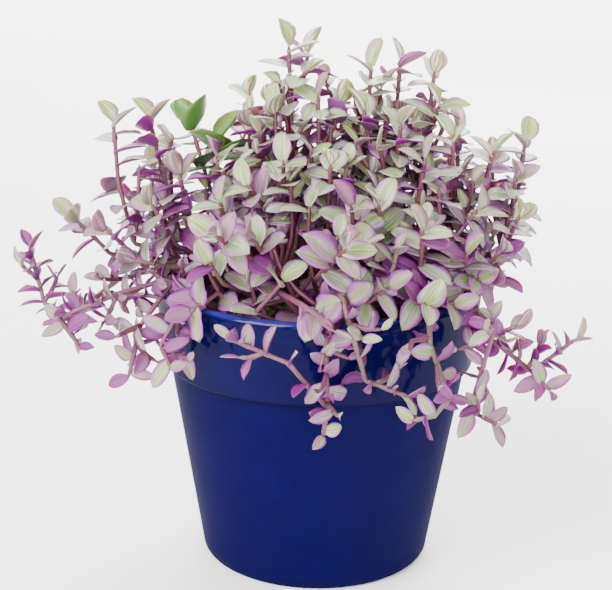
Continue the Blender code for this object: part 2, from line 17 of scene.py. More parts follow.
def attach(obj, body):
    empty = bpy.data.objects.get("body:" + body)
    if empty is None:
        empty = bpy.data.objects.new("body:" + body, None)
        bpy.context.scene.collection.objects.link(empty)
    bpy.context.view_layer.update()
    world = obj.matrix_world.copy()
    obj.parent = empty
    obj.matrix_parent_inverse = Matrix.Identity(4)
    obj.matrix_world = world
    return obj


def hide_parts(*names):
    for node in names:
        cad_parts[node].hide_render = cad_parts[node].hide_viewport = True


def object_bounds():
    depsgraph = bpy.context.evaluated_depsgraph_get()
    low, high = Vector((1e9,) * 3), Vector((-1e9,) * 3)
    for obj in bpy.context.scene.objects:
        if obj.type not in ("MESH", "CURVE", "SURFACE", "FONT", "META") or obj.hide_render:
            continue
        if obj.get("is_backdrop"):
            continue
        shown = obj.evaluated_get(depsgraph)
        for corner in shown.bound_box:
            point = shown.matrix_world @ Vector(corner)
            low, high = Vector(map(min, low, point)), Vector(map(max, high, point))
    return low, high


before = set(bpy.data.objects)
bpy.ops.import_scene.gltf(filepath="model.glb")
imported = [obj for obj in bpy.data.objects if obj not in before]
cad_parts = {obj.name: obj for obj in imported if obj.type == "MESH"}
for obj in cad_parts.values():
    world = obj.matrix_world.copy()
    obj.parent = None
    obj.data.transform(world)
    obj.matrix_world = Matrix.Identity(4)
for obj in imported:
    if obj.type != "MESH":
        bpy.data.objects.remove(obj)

MM = 0.001
GAP = 0.3 * MM

# The pot: a tapered wall with a thicker band round its mouth
POT_HEIGHT = 0.123
RIM_RADIUS = 0.070
BAND_FOOT_RADIUS = 0.0668
BAND_FOOT_HEIGHT = 0.0880
NECK_RADIUS = 0.0640
BASE_RADIUS = 0.0495
WALL = 0.0045
FLOOR = 0.006
FOOT_EDGE = 0.0020
STEP_EDGE = 0.0006
LIP_WIDTH = 0.0051
LIP_DEPTH = 0.0030
MOUTH_RADIUS = RIM_RADIUS - LIP_WIDTH
NECK_DROP = 0.0040
POT_SIDES = 36

# The soil
SOIL_TOP = 0.111
SOIL_SWELL = 0.0012
SOIL_EDGE_DROP = 0.0010
ROOT_DEPTH = 0.008

# Stems
SEED = 41
STEM_FOOT_RADIUS = 1.40 * MM
STEM_TIP_RADIUS = 0.95 * MM
STEM_SIDES = 3
STEM_STEP = 24 * MM
STEM_TRIES = 100
COLLAR = 3 * MM

# The points to each stretch of a smooth curve, and the direction a tube's first side is square to
CURVE_POINTS = 12
SQUARE_TO = (0.31, 0.95, 0.05)

# Where stems stand: their spacing, and how far out against their tips, more for those with a low tip
ROOT_SPACING = 9.5 * MM
ROOT_LIMIT = 0.0545
ROOT_SHARE = 0.44
LOW_ROOT_SHARE = 0.80
LOW_TIP = 0.143
ROOT_ROUNDS = 300
ROOT_PUSH = 0.25

# A shoot that ends over the rim or beyond bends over it, and again on its way up if it is tall
RIM_KNEE_INSET = 9 * MM
RIM_KNEE_RISE = 5 * MM
TALL_RISE = 30 * MM
TALL_KNEE = (0.90, 0.45)
TALL_KNEE_LOWEST = 24 * MM
INNER_KNEE = (0.72, 0.48)
STEM_BEND = 0.6 * MM
STEM_BEND_MORE = 0.25 * MM
TIP_BEND_SHARE = 0.5
UP_BEND_SHARE = 0.5

# A side shoot leaves the main stem this far below its tip, and turns upwards at its knee
SIDE_START = 24 * MM
SIDE_START_SLOPE = 0.55
SIDE_KNEE = (0.68, 0.68, 0.42)
SIDE_BEND_MORE = 0.4 * MM

# Leaves: distance of each from its stem's end, angle off the stem, length. The first are young
LEAF_PLACES = (0.4 * MM, 3.0 * MM, 9.0 * MM, 19.0 * MM, 30.0 * MM, 42.0 * MM)
LEAF_ANGLES = (28.0, 56.0, 70.0, 80.0, 86.0, 90.0)
LEAF_LENGTHS = (12.0 * MM, 14.5 * MM, 15.5 * MM, 15.0 * MM, 14.5 * MM, 14.0 * MM)
LEAF_ASPECT = 0.56
LEAF_THICKNESS = 0.75 * MM
LEAF_FOOT = 0.8 * LEAF_THICKNESS
LEAF_ROWS = ((0.34, 0.98), (0.70, 0.72))
YOUNG_ROWS = ((0.42, 0.90),)
CLOSED_FOLD = 0.75
OPEN_FOLD = (0.22, 0.5)
OPEN_DROOP = (0.05, 0.25)
LEAVES_ALONE = 5
LEAVES_ON_MAIN = 4
LEAVES_ON_SIDE = 3
LEAVES_ON_TRAIL = (6, 3)
LEAVES_REACH = 0.8
YOUNG_LEAVES = 2
LEAF_MARGIN = 0.5 * GAP
LEAF_TURN_SPREAD = 14
LEAF_ANGLE_SPREAD = 7
LEAF_SIZES = (0.86, 1.06)
LIGHT = (0.8, 1.1)
TURN_TRIES = (0, 16, -16, 34, -34, 56, -56, 80, -80)
ANGLE_TRIES = (0, -14, 14, -28)
SMALL_LEAF = 0.7
SMALL_TURN_TRIES = (0, 40, -40, 90, -90, 180)
SMALL_ANGLE = -10

# Leaves on trailing stems are smaller and turn up towards the light
TRAIL_LEAF_SHARE = 0.78
TRAIL_LEAF_LIFT = 0.45

# Shoots that rise: name, the top of its last leaf, then those of its side shoots, in millimetres
TOP_LEAF = 7 * MM
RISING = (
    ("crown_left", (-14, 0, 228), ((-6, 13, 224),)),
    ("crown_mid", (-19, -6, 204), ((-29, 4, 197),)),
    ("crown_front", (-1, -10, 209), ((8, -2, 206),)),
    ("spire_left", (20, 5, 220), ()),
    ("spire_mid", (33, 15, 221), ()),
    ("spire_right", (47, 10, 217), ((48, -9, 206),)),
    ("right_inner", (32, -14, 199), ((17, -9, 204),)),
    ("right_top", (62, 0, 196), ((71, -12, 188),)),
    ("right_edge", (88, 0, 190), ((80, -15, 178),)),
    ("right_low", (80, -28, 165), ((73, -36, 152),)),
    ("right_front", (42, -30, 188), ()),
    ("right_mid", (60, -35, 170), ((58, -50, 154),)),
    ("front_top", (4, -40, 187), ()),
    ("front_right", (28, -50, 174), ((12, -52, 173),)),
    ("front_fan", (39, -60, 167), ()),
    ("front_mid", (2, -68, 162), ((17, -67, 160),)),
    ("front_left", (-14, -63, 166), ()),
    ("left_front", (-31, -55, 163), ((-43, -54, 150),)),
    ("left_crown", (-15, -30, 186), ((-29, -34, 177),)),
    ("left_inner", (-43, -15, 184), ((-40, -34, 170),)),
    ("left_mid", (-58, -15, 177), ((-69, -22, 166),)),
    ("left_top", (-72, 10, 194), ()),
    ("left_tall", (-91, 0, 194), ()),
    ("left_low", (-87, -25, 159), ((-74, -38, 146),)),
    ("left_edge", (-106, 0, 156), ()),
    ("rim_left", (-50, -58, 131), ()),
    ("soil_left", (-27, -45, 139), ()),
    ("soil_mid", (-14, -59, 144), ()),
    ("rim_front", (-1, -74, 136), ()),
    ("rim_right", (12, -73, 141), ((27, -71, 146),)),
    ("rim_far", (56, -57, 135), ((42, -67, 137),)),
    ("rim_edge", (72, -38, 140), ((64, -48, 143),)),
    ("green_sprig", (-54, 9, 194), ((-43, 0, 188),)),
)

# Shoots that trail over the rim: name, points after the soil, then the points of their side shoots
TRAILING = (
    ("trail_front",
     ((-2, -60, 128), (-2, -71, 125), (-1, -76, 112), (-3, -79, 100), (-2, -79, 90), (1, -77, 82)),
     (((-3, -78, 103), (-14, -84, 115), (-25, -86, 119), (-33, -85, 122)),)),
    ("trail_star", ((12, -60, 128), (14, -71, 125), (21, -81, 115), (26, -82, 105), (31, -83, 97)),
     (((14, -73, 123), (15, -84, 124), (17, -88, 123)),)),
    ("trail_rose", ((42, -55, 129), (46, -62, 124), (43, -76, 116), (45, -80, 106), (51, -78, 97)),
     (((51, -78, 97), (44, -82, 91), (36, -82, 89)),)),
    ("trail_bow",
     ((52, -47, 130), (57, -55, 126), (59, -66, 112), (58, -70, 98), (60, -71, 86), (69, -74, 83),
      (76, -76, 87)),
     ()),
    ("trail_arm",
     ((60, -36, 130), (67, -44, 124), (75, -53, 110), (88, -52, 100), (98, -45, 98), (104, -42, 112)),
     (((88, -52, 100), (92, -60, 94)), ((75, -53, 110), (79, -53, 119)))),
    ("trail_left",
     ((-55, -30, 130), (-66, -36, 127), (-80, -43, 127), (-91, -46, 118), (-103, -46, 117)),
     (((-91, -46, 118), (-95, -50, 106)),)),
    ("trail_far",
     ((-62, -8, 131), (-74, -9, 127), (-93, -8, 111), (-113, -6, 99), (-119, -3, 117), (-122, 0, 134)),
     (((-93, -8, 111), (-103, -15, 118)),)),
    ("trail_drop", ((-58, -38, 130), (-66, -44, 124), (-73, -52, 110), (-75, -53, 94)),
     (((-70, -48, 117), (-80, -59, 113)),)),
    ("trail_hook", ((-48, -46, 130), (-54, -53, 124), (-63, -60, 108), (-64, -63, 97), (-57, -68, 104)),
     ()),
    ("trail_back", ((8, 60, 128), (12, 71, 124), (16, 80, 106), (24, 82, 90)),
     (((14, 76, 114), (3, 86, 105)),)),
    ("trail_back_left", ((-42, 46, 129), (-51, 53, 124), (-61, 63, 108), (-65, 70, 95)), ()),
    ("trail_back_right", ((52, 34, 130), (61, 40, 124), (69, 52, 110), (77, 60, 104)), ()),
)

# The shoots behind stand on a spiral from the first angle over a span, in degrees
GOLDEN_TURN = 137.508
BACK_ANGLE = 6
BACK_SPAN = 168
BACK_SHOOTS = 9
BACK_FIRST = 0.7
BACK_HEIGHT = 207 * MM
BACK_DROP = 58 * MM
BACK_REACH = 90 * MM
BACK_START = 12 * MM
BACK_SIDE_REACH = 17 * MM
BACK_SIDE_OUT = 0.3
BACK_SIDE_FALL = 0.9

# What only the finer plant has: leaves between the main ones, at millimetres from their stem's end
FILL_PLACES = (6.0, 13.5, 24.0, 36.0, 48.0, 58.0, 68.0, 78.0)
ADDED_PLACES = (0.4, 2.5, 6.0, 11.0, 17.0, 24.0, 32.0, 40.0)
TRAIL_PLACES = (6.0, 11.0, 15.5, 20.5, 25.5, 31.0, 36.5, 42.5, 49.0, 56.0, 63.0, 71.0, 79.0, 88.0,
                97.0)
BARE_TRAIL_REACH = 66 * MM
BARE_TRAIL_TOP = 0.155
GREEN_PLACES = (5.0, 12.0)
FILL_ANGLE_PLACES = (0, 2.5 * MM, 6 * MM, 14 * MM, 50 * MM)
FILL_ANGLES = (20, 60, 76, 84, 92)
FILL_ANGLE_SPREAD = 9
FILL_REACH = 0.86
FILL_MARGIN = 0.35 * MM
YOUNG_PLACE = 2.0 * MM
SMALL_BLADE_PLACE = 8 * MM
FILL_TRIES = 12
FILL_SHRINK = 0.3
FILL_SIZES = (0.86, 1.1)
FILL_LENGTH_PLACES = (0, 4 * MM, 12 * MM, 28 * MM, 60 * MM)
FILL_LENGTHS = (9 * MM, 12.5 * MM, 14.5 * MM, 14 * MM, 12 * MM)
FILL_LIGHT = (0.3, 1.3)
LIT_SHARE = (0.95, 0.7)
LIT_PLACE = 30 * MM
TRAIL_LIT_SHARE = 0.55
YOUNG_FOLD = (0.5, 0.8)
FILL_FOLD = (0.18, 0.5)
TRAIL_FOLD = (0.35, 0.9)
FILL_DROOP = (0.05, 0.3)

# Thin side shoots, which leave the stem with the least run and rise to their tip
FILL_STEM_TRIES = 8
FILL_STEM_STEP = 9 * MM
FILL_STEM_BEND = 0.5 * MM
FILL_RISE = (16 * MM, 60 * MM)
FILL_SLOPE = 0.9
FILL_RISE_COST = 0.3
DOME_TRIES = 1500
DOME_ROUTES = 3
DOME_SHARES = (0.15, 0.85)
DOME_SPREAD = 4
DOME_SPACING = 10 * MM
DOME_NEIGHBOUR = 45 * MM
DOME_DEPTH = (5 * MM, 42 * MM)
DOME_REACH = 80 * MM
TRAIL_SHOOT_PLACES = (14 * MM, 70 * MM, 11 * MM)
TRAIL_SHOOT_LENGTH = (9 * MM, 17 * MM)
TRAIL_SHOOT_SHARE = 0.8
TRAIL_SHOOT_START = 25 * MM
TRAIL_SHOOT_AHEAD = 0.8
TRAIL_SHOOT_LIFT = 0.35
TRAIL_SHOOT_SAG = 1 * MM

# The patch of bare soil at the front
CLEARING = np.array([-18, -46]) * MM
CLEARING_RADIUS = 27 * MM
CLEARING_TOP = 0.149

# A leaf's points across and along it, the side they lie on, its outline and its bends
LEAF_ACROSS = (-1.0, -0.5, 0.0, 0.5, 1.0, 0.5, 0.0, -0.5)
LEAF_FACE = (0.0, 1.0, 1.0, 1.0, 0.0, -1.0, -1.0, -1.0)
LEAF_ALONG = (0.0, 0.09, 0.27, 0.47, 0.68, 0.87)
OUTLINE_PEAK = 0.469
BASE_WIDTH = 0.42
LEAF_BEND = 0.05
EDGE_WAVE = 0.035
EDGE_WAVES = (5, 9)
EDGE_WAVE_STARTS = (0, 6)
FOLD_SHARE = 0.85
FOLD_POWER = 1.7
TIP_THINNING = 0.6
GREEN_GROWTH = 1.4
FINE_ASPECT = (0.62, 0.78)
TRAIL_ASPECT = (0.44, 0.62)
GREEN_ASPECT = (0.66, 0.78)
FINE_THICKNESS = 0.55 * MM

# A stem's fine surface, with its swellings where leaves grow
CORNER_SHARES = (0.0, 0.22, 0.78)
FINE_STEP = 2.2 * MM
FINE_SIDES = 8
FINE_FOOT_RADIUS = 1.25 * MM
FINE_SIDE_RADIUS = 1.0 * MM
FINE_TIP_RADIUS = 0.80 * MM
NODE_SWELL = 0.3
NODE_REACH = 1.1 * MM
FIRST_NODE = 2 * MM
TIP_SHARE = 0.35

# A leaf's age and how pink it is: more below a height, on stems that trail and on old leaves
OLD_PLACE = 55 * MM
PINK_BELOW = 0.198
PINK_RANGE = 0.055
LOW_PINK = 0.75
TRAIL_PINK = 0.15
AGE_PINK = 0.3
PINK_SPREAD = (0.08, 0.24)

# The fine pot and the soil's surface, with each kind of bump as its height, its size and its seed
POT_FINE_SIDES = 160
SHARP_EDGE = 50
SOIL_FINE_SIDES = 180
SOIL_RINGS = 46
SOIL_CENTRE_SHARE = 0.0004
LATTICE = 64
BIG_CLODS = (0.0011, 9 * MM, 11)
SMALL_CLODS = (0.0007, 4 * MM, 12)
GRAINS = (0.00045, 1.6 * MM, 13)

# Crumbs and spikes of moss on the soil, with their radii, lengths and spreads in millimetres
SUNK = 0.2 * MM
CRUMBS = 1500
CRUMB_EDGE = 4 * MM
CRUMB_RADIUS = 1.5
CRUMB_SIZES = (0.35, 1.0)
CRUMB_POWER = (1 + math.sqrt(5)) / 2
CRUMB_STRETCH = (0.55, 1.35)
CRUMB_ROUGHNESS = (0.8, 1.2)
TUFTS = 26
TUFTS_IN_CLEARING = 9
TUFT_EDGE = 10 * MM
TUFT_SCATTER = 8
TUFT_SPREAD = 3.0
SPIKES = 90
SPIKE_EDGE = 5 * MM
SPIKE_SIDES = 3
SPIKE_RADIUS = 0.32
SPIKE_LEAN = 0.55
SPIKE_LENGTH = (0.8, 2.2)

# The stage: a floor that bends up behind, and soft lights as name, place, target, size and watts
STAGE_HALF_WIDTH = 6
STAGE_FRONT = -3.0
STAGE_BEND = 2.2
STAGE_BEND_RADIUS = 1.5
STAGE_TOP = 4.0
WORLD_STRENGTH = 1.12
LIT_POINT = (0, 0, 0.14)
LIGHTS = (
    ("key", (-0.9, -0.9, 1.2), LIT_POINT, (0.9, 0.9), 66),
    ("back", (0.5, 1.2, 1.0), LIT_POINT, (1.2, 0.8), 42),
    ("strip_left", (-0.42, -0.85, 0.42), LIT_POINT, (0.10, 0.8), 1.4),
    ("strip_right", (0.42, -0.85, 0.42), LIT_POINT, (0.10, 0.8), 2.0),
    ("fill", (0.1, -1.3, 0.5), LIT_POINT, (1.0, 0.6), 16),
    ("backdrop", (0, 3.0, 1.7), (0, 2.7, 0), (5, 2), 440),
)

# The photograph's camera, as fitted to the pot's rim, band and base
CAMERA_PLACE = (0.0, -0.600, 0.289)
CAMERA_LENS = 85.35
CAMERA_PITCH = 16.21
CAMERA_YAW = -0.52
CAMERA_ROLL = 0.77


class Leaf(NamedTuple):
    """A leaf: where it grows from, its directions, its sizes, and how far it is from its stem's end."""

    root: np.ndarray
    out: np.ndarray
    upper: np.ndarray
    length: float
    fold: float
    droop: float
    place: float


# The solid plant's rule

def unit(vector):
    """The vector at length 1."""
    return vector / max(float(np.linalg.norm(vector)), 1e-9)


def distances(line):
    """The distance of each point along a line from its first point."""
    return np.concatenate([[0], np.cumsum(np.linalg.norm(np.diff(line, axis=0), axis=1))])


def length_of(line):
    """The length of a line of points."""
    return float(np.linalg.norm(np.diff(line, axis=0), axis=1).sum())


def smooth_line(points, step, before=None):
    """Points evenly spaced along a Catmull-Rom curve through the given points.

    Where before is given, a straight run from that point leads into the curve."""
    points = np.asarray(points, float)
    first = 2 * points[0] - points[1] if before is None else before
    ends = np.vstack([first, points, 2 * points[-1] - points[-2]])
    share = np.linspace(0, 1, CURVE_POINTS, endpoint=False)[:, None]
    pieces = []
    for a, b, c, d in zip(ends, ends[1:], ends[2:], ends[3:]):
        pieces.append(0.5 * (2 * b + (c - a) * share + (2 * a - 5 * b + 4 * c - d) * share**2
                             + (3 * b - 3 * c + d - a) * share**3))
    fine = np.vstack([*pieces, points[-1:]])
    along = distances(fine)
    count = max(3, round(along[-1] / step) + 1)
    at = np.linspace(0, along[-1], count)
    even = np.stack([np.interp(at, along, fine[:, k]) for k in range(3)], axis=1)
    return even if before is None else np.vstack([before, even])


def frames_along(line):
    """Directions along the line, and a side direction carried along it without twisting."""
    ahead = np.gradient(line, axis=0)
    ahead /= np.linalg.norm(ahead, axis=1)[:, None]
    side = unit(np.cross(ahead[0], SQUARE_TO))
    sides = []
    for direction in ahead:
        side = unit(side - direction * (side @ direction))
        sides.append(side)
    return ahead, np.array(sides)


def rings_round(line, radius, sides):
    """A ring of points round each point of a line, at that point's radius."""
    ahead, side = frames_along(line)
    over = np.cross(ahead, side)
    turn = np.arange(sides) * 2 * math.pi / sides
    cosine, sine = np.cos(turn)[None, :, None], np.sin(turn)[None, :, None]
    ring = cosine * side[:, None, :] + sine * over[:, None, :]
    return (line[:, None, :] + radius[:, None, None] * ring).reshape(-1, 3)


def tube(line, first_radius, last_radius, sides):
    """A closed tube along a line, as points and faces that point outwards. Its sides are triangles."""
    points = rings_round(line, np.linspace(first_radius, last_radius, len(line)), sides)
    faces = [tuple(range(sides))[::-1], tuple((len(line) - 1) * sides + k for k in range(sides))]
    for row in range(len(line) - 1):
        for k in range(sides):
            a, b = row * sides + k, row * sides + (k + 1) % sides
            faces += [(a, b, b + sides), (a, b + sides, a + sides)]
    return points, faces


def place_on(line, from_end):
    """The point, direction and side direction at a distance back from a line's end."""
    ahead, side = frames_along(line)
    along = distances(line)
    at = max(along[-1] - from_end, 0.0)
    point = np.array([np.interp(at, along, line[:, k]) for k in range(3)])
    nearest = min(int(np.searchsorted(along, at)), len(line) - 1)
    return point, ahead[nearest], side[nearest]


def blade(root, out, upper, length, fold, droop, young, grow):
    """A leaf as a closed solid, with each face folded along a midrib from its root to its tip.

    The outline is ovate and widest before the middle, and a young leaf has one row across, not two.
    Both halves rise from the midrib, which bends down with the square of the distance. grow makes
    it that much larger on every side."""
    across = np.cross(upper, out)
    rows = YOUNG_ROWS if young else LEAF_ROWS
    tip = root + out * (length + grow) - upper * droop * length
    foot = upper * (LEAF_FOOT / 2 + grow)
    points = [root + foot, root - foot, tip]
    for lift in (LEAF_THICKNESS / 2 + grow, -LEAF_THICKNESS / 2 - grow):
        for k, (share, wide) in enumerate(rows):
            middle = root + out * length * share + upper * (lift - droop * length * share**2)
            half = 0.5 * LEAF_ASPECT * length * wide + grow
            if k == 0:
                points.append(middle)
            raised = middle + upper * fold * half
            points += [raised + across * half, raised - across * half]
    under = 1 + 2 * len(rows)
    if young:
        above = [(0, 3, 4), (0, 5, 3), (3, 2, 4), (3, 5, 2)]
        edges = [(4, 2, 4 + under), (5, 5 + under, 2)]
    else:
        above = [(0, 3, 4), (0, 5, 3), (4, 3, 6), (3, 5, 7), (3, 2, 6), (3, 7, 2)]
        edges = [(4, 6, 6 + under, 4 + under), (5, 5 + under, 7 + under, 7)]
        edges += [(6, 2, 6 + under), (7, 7 + under, 2)]
    below = [tuple({0: 1, 2: 2}.get(k, k + under) for k in face[::-1]) for face in above]
    edges += [(0, 4, 4 + under, 1), (0, 1, 5 + under, 5)]
    return np.array(points), above + below + edges


class Crowd:
    """Everything placed so far, each a little larger than life, to find what a new piece would cross."""

    def __init__(self):
        self.low, self.high, self.trees, self.owners = [], [], [], []

    def add(self, points, faces, owner):
        self.low.append(points.min(axis=0))
        self.high.append(points.max(axis=0))
        self.trees.append(BVHTree.FromPolygons(points.tolist(), faces))
        self.owners.append(owner)

    def clear(self, points, faces, skip=()):
        """True where the piece crosses nothing, apart from pieces whose owner is in skip."""
        begins_before = np.array(self.low) <= points.max(axis=0)
        ends_after = np.array(self.high) >= points.min(axis=0)
        near = (begins_before & ends_after).all(axis=1)
        found = [k for k in np.flatnonzero(near) if self.owners[k] not in skip]
        if not found:
            return True
        tree = BVHTree.FromPolygons(points.tolist(), faces)
        return not any(tree.overlap(self.trees[k]) for k in found)


def outside_radius(height):
    """The radius of the pot's outside at a height."""
    return np.interp(height, (0, BAND_FOOT_HEIGHT, BAND_FOOT_HEIGHT + 2 * STEP_EDGE, POT_HEIGHT),
                     (BASE_RADIUS, NECK_RADIUS, BAND_FOOT_RADIUS, RIM_RADIUS))


def above_soil(points):
    """True where every point inside the pot's mouth is above the soil and none is in the pot's wall."""
    away = np.hypot(points[:, 0], points[:, 1])
    low = points[:, 2] < SOIL_TOP + 2 * SOIL_SWELL
    in_pot = (away < RIM_RADIUS + GAP) & (points[:, 2] < POT_HEIGHT + GAP)
    in_mouth = (away < RIM_RADIUS - 2 * WALL) & ~low
    beside = away > outside_radius(points[:, 2]) + GAP
    return bool((~in_pot | in_mouth | beside).all())


def spread_roots(wanted):
    """Moves the wanted root places apart until none is nearer to another than the root spacing."""
    places = np.array(wanted)
    itself = np.eye(len(places))
    for _ in range(ROOT_ROUNDS):
        apart = places[:, None] - places[None]
        distance = np.linalg.norm(apart, axis=2) + itself
        push = np.where(distance < ROOT_SPACING, (ROOT_SPACING - distance) / distance, 0) * (1 - itself)
        places = places + ROOT_PUSH * (push[:, :, None] * apart).sum(axis=1)
        away = np.linalg.norm(places, axis=1)[:, None]
        places = np.where(away > ROOT_LIMIT, places * ROOT_LIMIT / away, places)
    return places


def back_shoots():
    """The shoots behind, on a golden spiral over the mound's back half, each with one side shoot."""
    found = []
    for k in range(BACK_SHOOTS):
        share = math.sqrt((k + BACK_FIRST) / BACK_SHOOTS)
        angle = math.radians(BACK_ANGLE + (k * GOLDEN_TURN) % BACK_SPAN)
        outward = np.array([math.cos(angle), math.sin(angle), 0])
        tip = share * BACK_REACH * outward + [0, BACK_START, BACK_HEIGHT - BACK_DROP * share**2]
        aside = (-1) ** k * np.cross([0, 0, 1], outward) + BACK_SIDE_OUT * outward
        side_tip = tip + BACK_SIDE_REACH * (aside - [0, 0, BACK_SIDE_FALL])
        found.append((f"back_{k + 1:02d}", [tip], [[side_tip]]))
    return found


def plant_plan():
    """Every shoot as (name, points after the soil, side shoots), where a side shoot is its points."""
    plan = []
    for name, points, sides in TRAILING:
        plan.append((name, list(np.array(points) * MM), [list(np.array(side) * MM) for side in sides]))
    top_leaf = np.array([0, 0, TOP_LEAF])
    for name, tip, sides in RISING:
        side_tips = [[np.array(side) * MM - top_leaf] for side in sides]
        plan.append((name, [np.array(tip) * MM - top_leaf], side_tips))
    return plan + back_shoots()


def route_of(root, points):
    """A shoot's route: its foot, its collar, a knee or two if only its tip is given, and its points."""
    route = [np.array([*root, SOIL_TOP - ROOT_DEPTH]), np.array([*root, SOIL_TOP + COLLAR])]
    tip = points[0]
    rise = tip[2] - SOIL_TOP
    reach = float(np.hypot(*tip[:2]))
    if len(points) == 1 and reach > RIM_RADIUS - RIM_KNEE_INSET:
        over_rim = tip[:2] / reach * (RIM_RADIUS - RIM_KNEE_INSET)
        route.append(np.array([*over_rim, POT_HEIGHT + RIM_KNEE_RISE]))
        if rise > TALL_RISE:
            height = max(TALL_KNEE[1] * rise, TALL_KNEE_LOWEST)
            route.append(np.array([*tip[:2] * TALL_KNEE[0], SOIL_TOP + height]))
    elif len(points) == 1:
        knee = root + (tip[:2] - root) * INNER_KNEE[0]
        route.append(np.array([*knee, SOIL_TOP + INNER_KNEE[1] * rise]))
    return route + list(points)


def bent(route, amount, rng):
    """The route with its middle points moved by a random amount, and its tip by half as much."""
    moved = [np.array(point) for point in route]
    for k in range(2, len(moved)):
        share = TIP_BEND_SHARE if k == len(moved) - 1 else 1.0
        moved[k] = moved[k] + rng.normal(0, 1, 3) * amount * share * np.array([1, 1, UP_BEND_SHARE])
    return moved


def stem_line(route, crowd, rng):
    """The first bend of the route whose stem is clear of the pot and of every other stem."""
    for attempt in range(STEM_TRIES):
        moved = bent(route, STEM_BEND + STEM_BEND_MORE * attempt, rng)
        line = smooth_line(moved[1:], STEM_STEP, before=moved[0])
        points, faces = tube(line, STEM_FOOT_RADIUS + GAP, STEM_TIP_RADIUS + GAP, STEM_SIDES)
        if above_soil(points[STEM_SIDES:]) and crowd.clear(points, faces):
            return line
    return None


def grow_stems(crowd):
    """Every stem line, as {name: [main, side, ...]}, in an order that lays the trailing stems first."""
    plan = plant_plan()
    roots = []
    for _, points, _ in plan:
        share = ROOT_SHARE if len(points) == 1 and points[0][2] > LOW_TIP else LOW_ROOT_SHARE
        wanted = points[0][:2] * share
        roots.append(wanted * min(1, ROOT_LIMIT / max(np.hypot(*wanted), 1e-6)))
    roots = spread_roots(roots)
    stems = {}
    for number, ((name, points, sides), root) in enumerate(zip(plan, roots)):
        rng = np.random.default_rng((SEED, number))
        main = stem_line(route_of(root, points), crowd, rng)
        if main is None:
            print("no clear way for", name)
            continue
        crowd.add(*tube(main, STEM_FOOT_RADIUS + GAP, STEM_TIP_RADIUS + GAP, STEM_SIDES), name)
        stems[name] = [main]
        for side in sides:
            stems[name] += side_stem(name, main, side, crowd, rng)
    return stems


def side_stem(name, main, points, crowd, rng):
    """A side shoot that starts on the main stem: a list of one line, or of none if no way is clear."""
    target = points[-1]
    if len(points) > 1:
        start = main[np.argmin(np.linalg.norm(main[1:] - points[0], axis=1)) + 1]
        middle = points[1:-1] or [0.5 * (start + target)]
    else:
        drop = SIDE_START_SLOPE * np.linalg.norm(target - main[-1]) + SIDE_START
        start = main[2:][np.argmin(np.abs(np.linalg.norm(main[2:] - main[-1], axis=1) - drop))]
        middle = [start + (target - start) * np.array(SIDE_KNEE)]
    route = [start, *middle, target]
    for attempt in range(STEM_TRIES):
        moved = [route[0], *bent([route[0], *route], attempt * SIDE_BEND_MORE, rng)[2:]]
        line = smooth_line(moved, STEM_STEP)
        shape = tube(line, STEM_TIP_RADIUS + GAP, STEM_TIP_RADIUS + GAP, STEM_SIDES)
        if above_soil(shape[0]) and crowd.clear(*shape, (name,)):
            crowd.add(*shape, name)
            return [line]
    print("no clear side shoot on", name)
    return []


def leaf_tries(rng, order):
    """Angles for one leaf, best first: turn round the stem, angle off it, and share of full length."""
    turn = 180 * order + rng.normal(0, LEAF_TURN_SPREAD)
    angle = LEAF_ANGLES[order] + rng.normal(0, LEAF_ANGLE_SPREAD)
    size = rng.uniform(*LEAF_SIZES)
    for wider in TURN_TRIES:
        for steeper in ANGLE_TRIES:
            yield math.radians(turn + wider), math.radians(angle + steeper), size
    for wider in SMALL_TURN_TRIES:
        yield math.radians(turn + wider), math.radians(angle + SMALL_ANGLE), SMALL_LEAF * size


def leaf_axes(axes, turn, angle, lift, light):
    """The way a leaf points and its upper side, at a turn round its stem and an angle off it.

    axes are the stem's own directions. The upper side turns round the midrib towards the light."""
    ahead, side, over = axes
    outward = math.cos(turn) * side + math.sin(turn) * over
    out = unit(math.cos(angle) * ahead + math.sin(angle) * outward + lift)
    upper = math.sin(angle) * ahead - math.cos(angle) * outward + light
    return out, unit(upper - out * (upper @ out))


def grow_leaf(line, order, twist, crowd, rng, owner):
    """The first try at a leaf that is clear of everything, or None."""
    if LEAF_PLACES[order] > LEAVES_REACH * length_of(line):
        return None
    root, ahead, side = place_on(line, LEAF_PLACES[order])
    axes = (ahead, side, np.cross(ahead, side))
    fold = CLOSED_FOLD if order == 0 else rng.uniform(*OPEN_FOLD)
    droop = 0.0 if order == 0 else rng.uniform(*OPEN_DROOP)
    trails = owner.startswith("trail")
    lift = np.array([0, 0, TRAIL_LEAF_LIFT if trails else 0])
    share = TRAIL_LEAF_SHARE if trails else 1
    light = np.array([*unit(root[:2]) * LIGHT[0], LIGHT[1]])
    for turn, angle, size in leaf_tries(rng, order):
        out, upper = leaf_axes(axes, turn + twist, angle, lift, light)
        length = LEAF_LENGTHS[order] * size * share
        larger, faces = blade(root, out, upper, length, fold, droop, order < YOUNG_LEAVES, LEAF_MARGIN)
        if above_soil(larger[2:]) and crowd.clear(larger, faces, (owner,)):
            crowd.add(larger, faces, f"{owner} leaves")
            return Leaf(root, out, upper, length, fold, droop, LEAF_PLACES[order])
    return None


def leaf_count(name, k, lines):
    """The number of leaves on stem k of a shoot with this many stems."""
    if name.startswith("trail"):
        return LEAVES_ON_TRAIL[min(k, 1)]
    if lines == 1:
        return LEAVES_ALONE
    return LEAVES_ON_SIDE if k else LEAVES_ON_MAIN


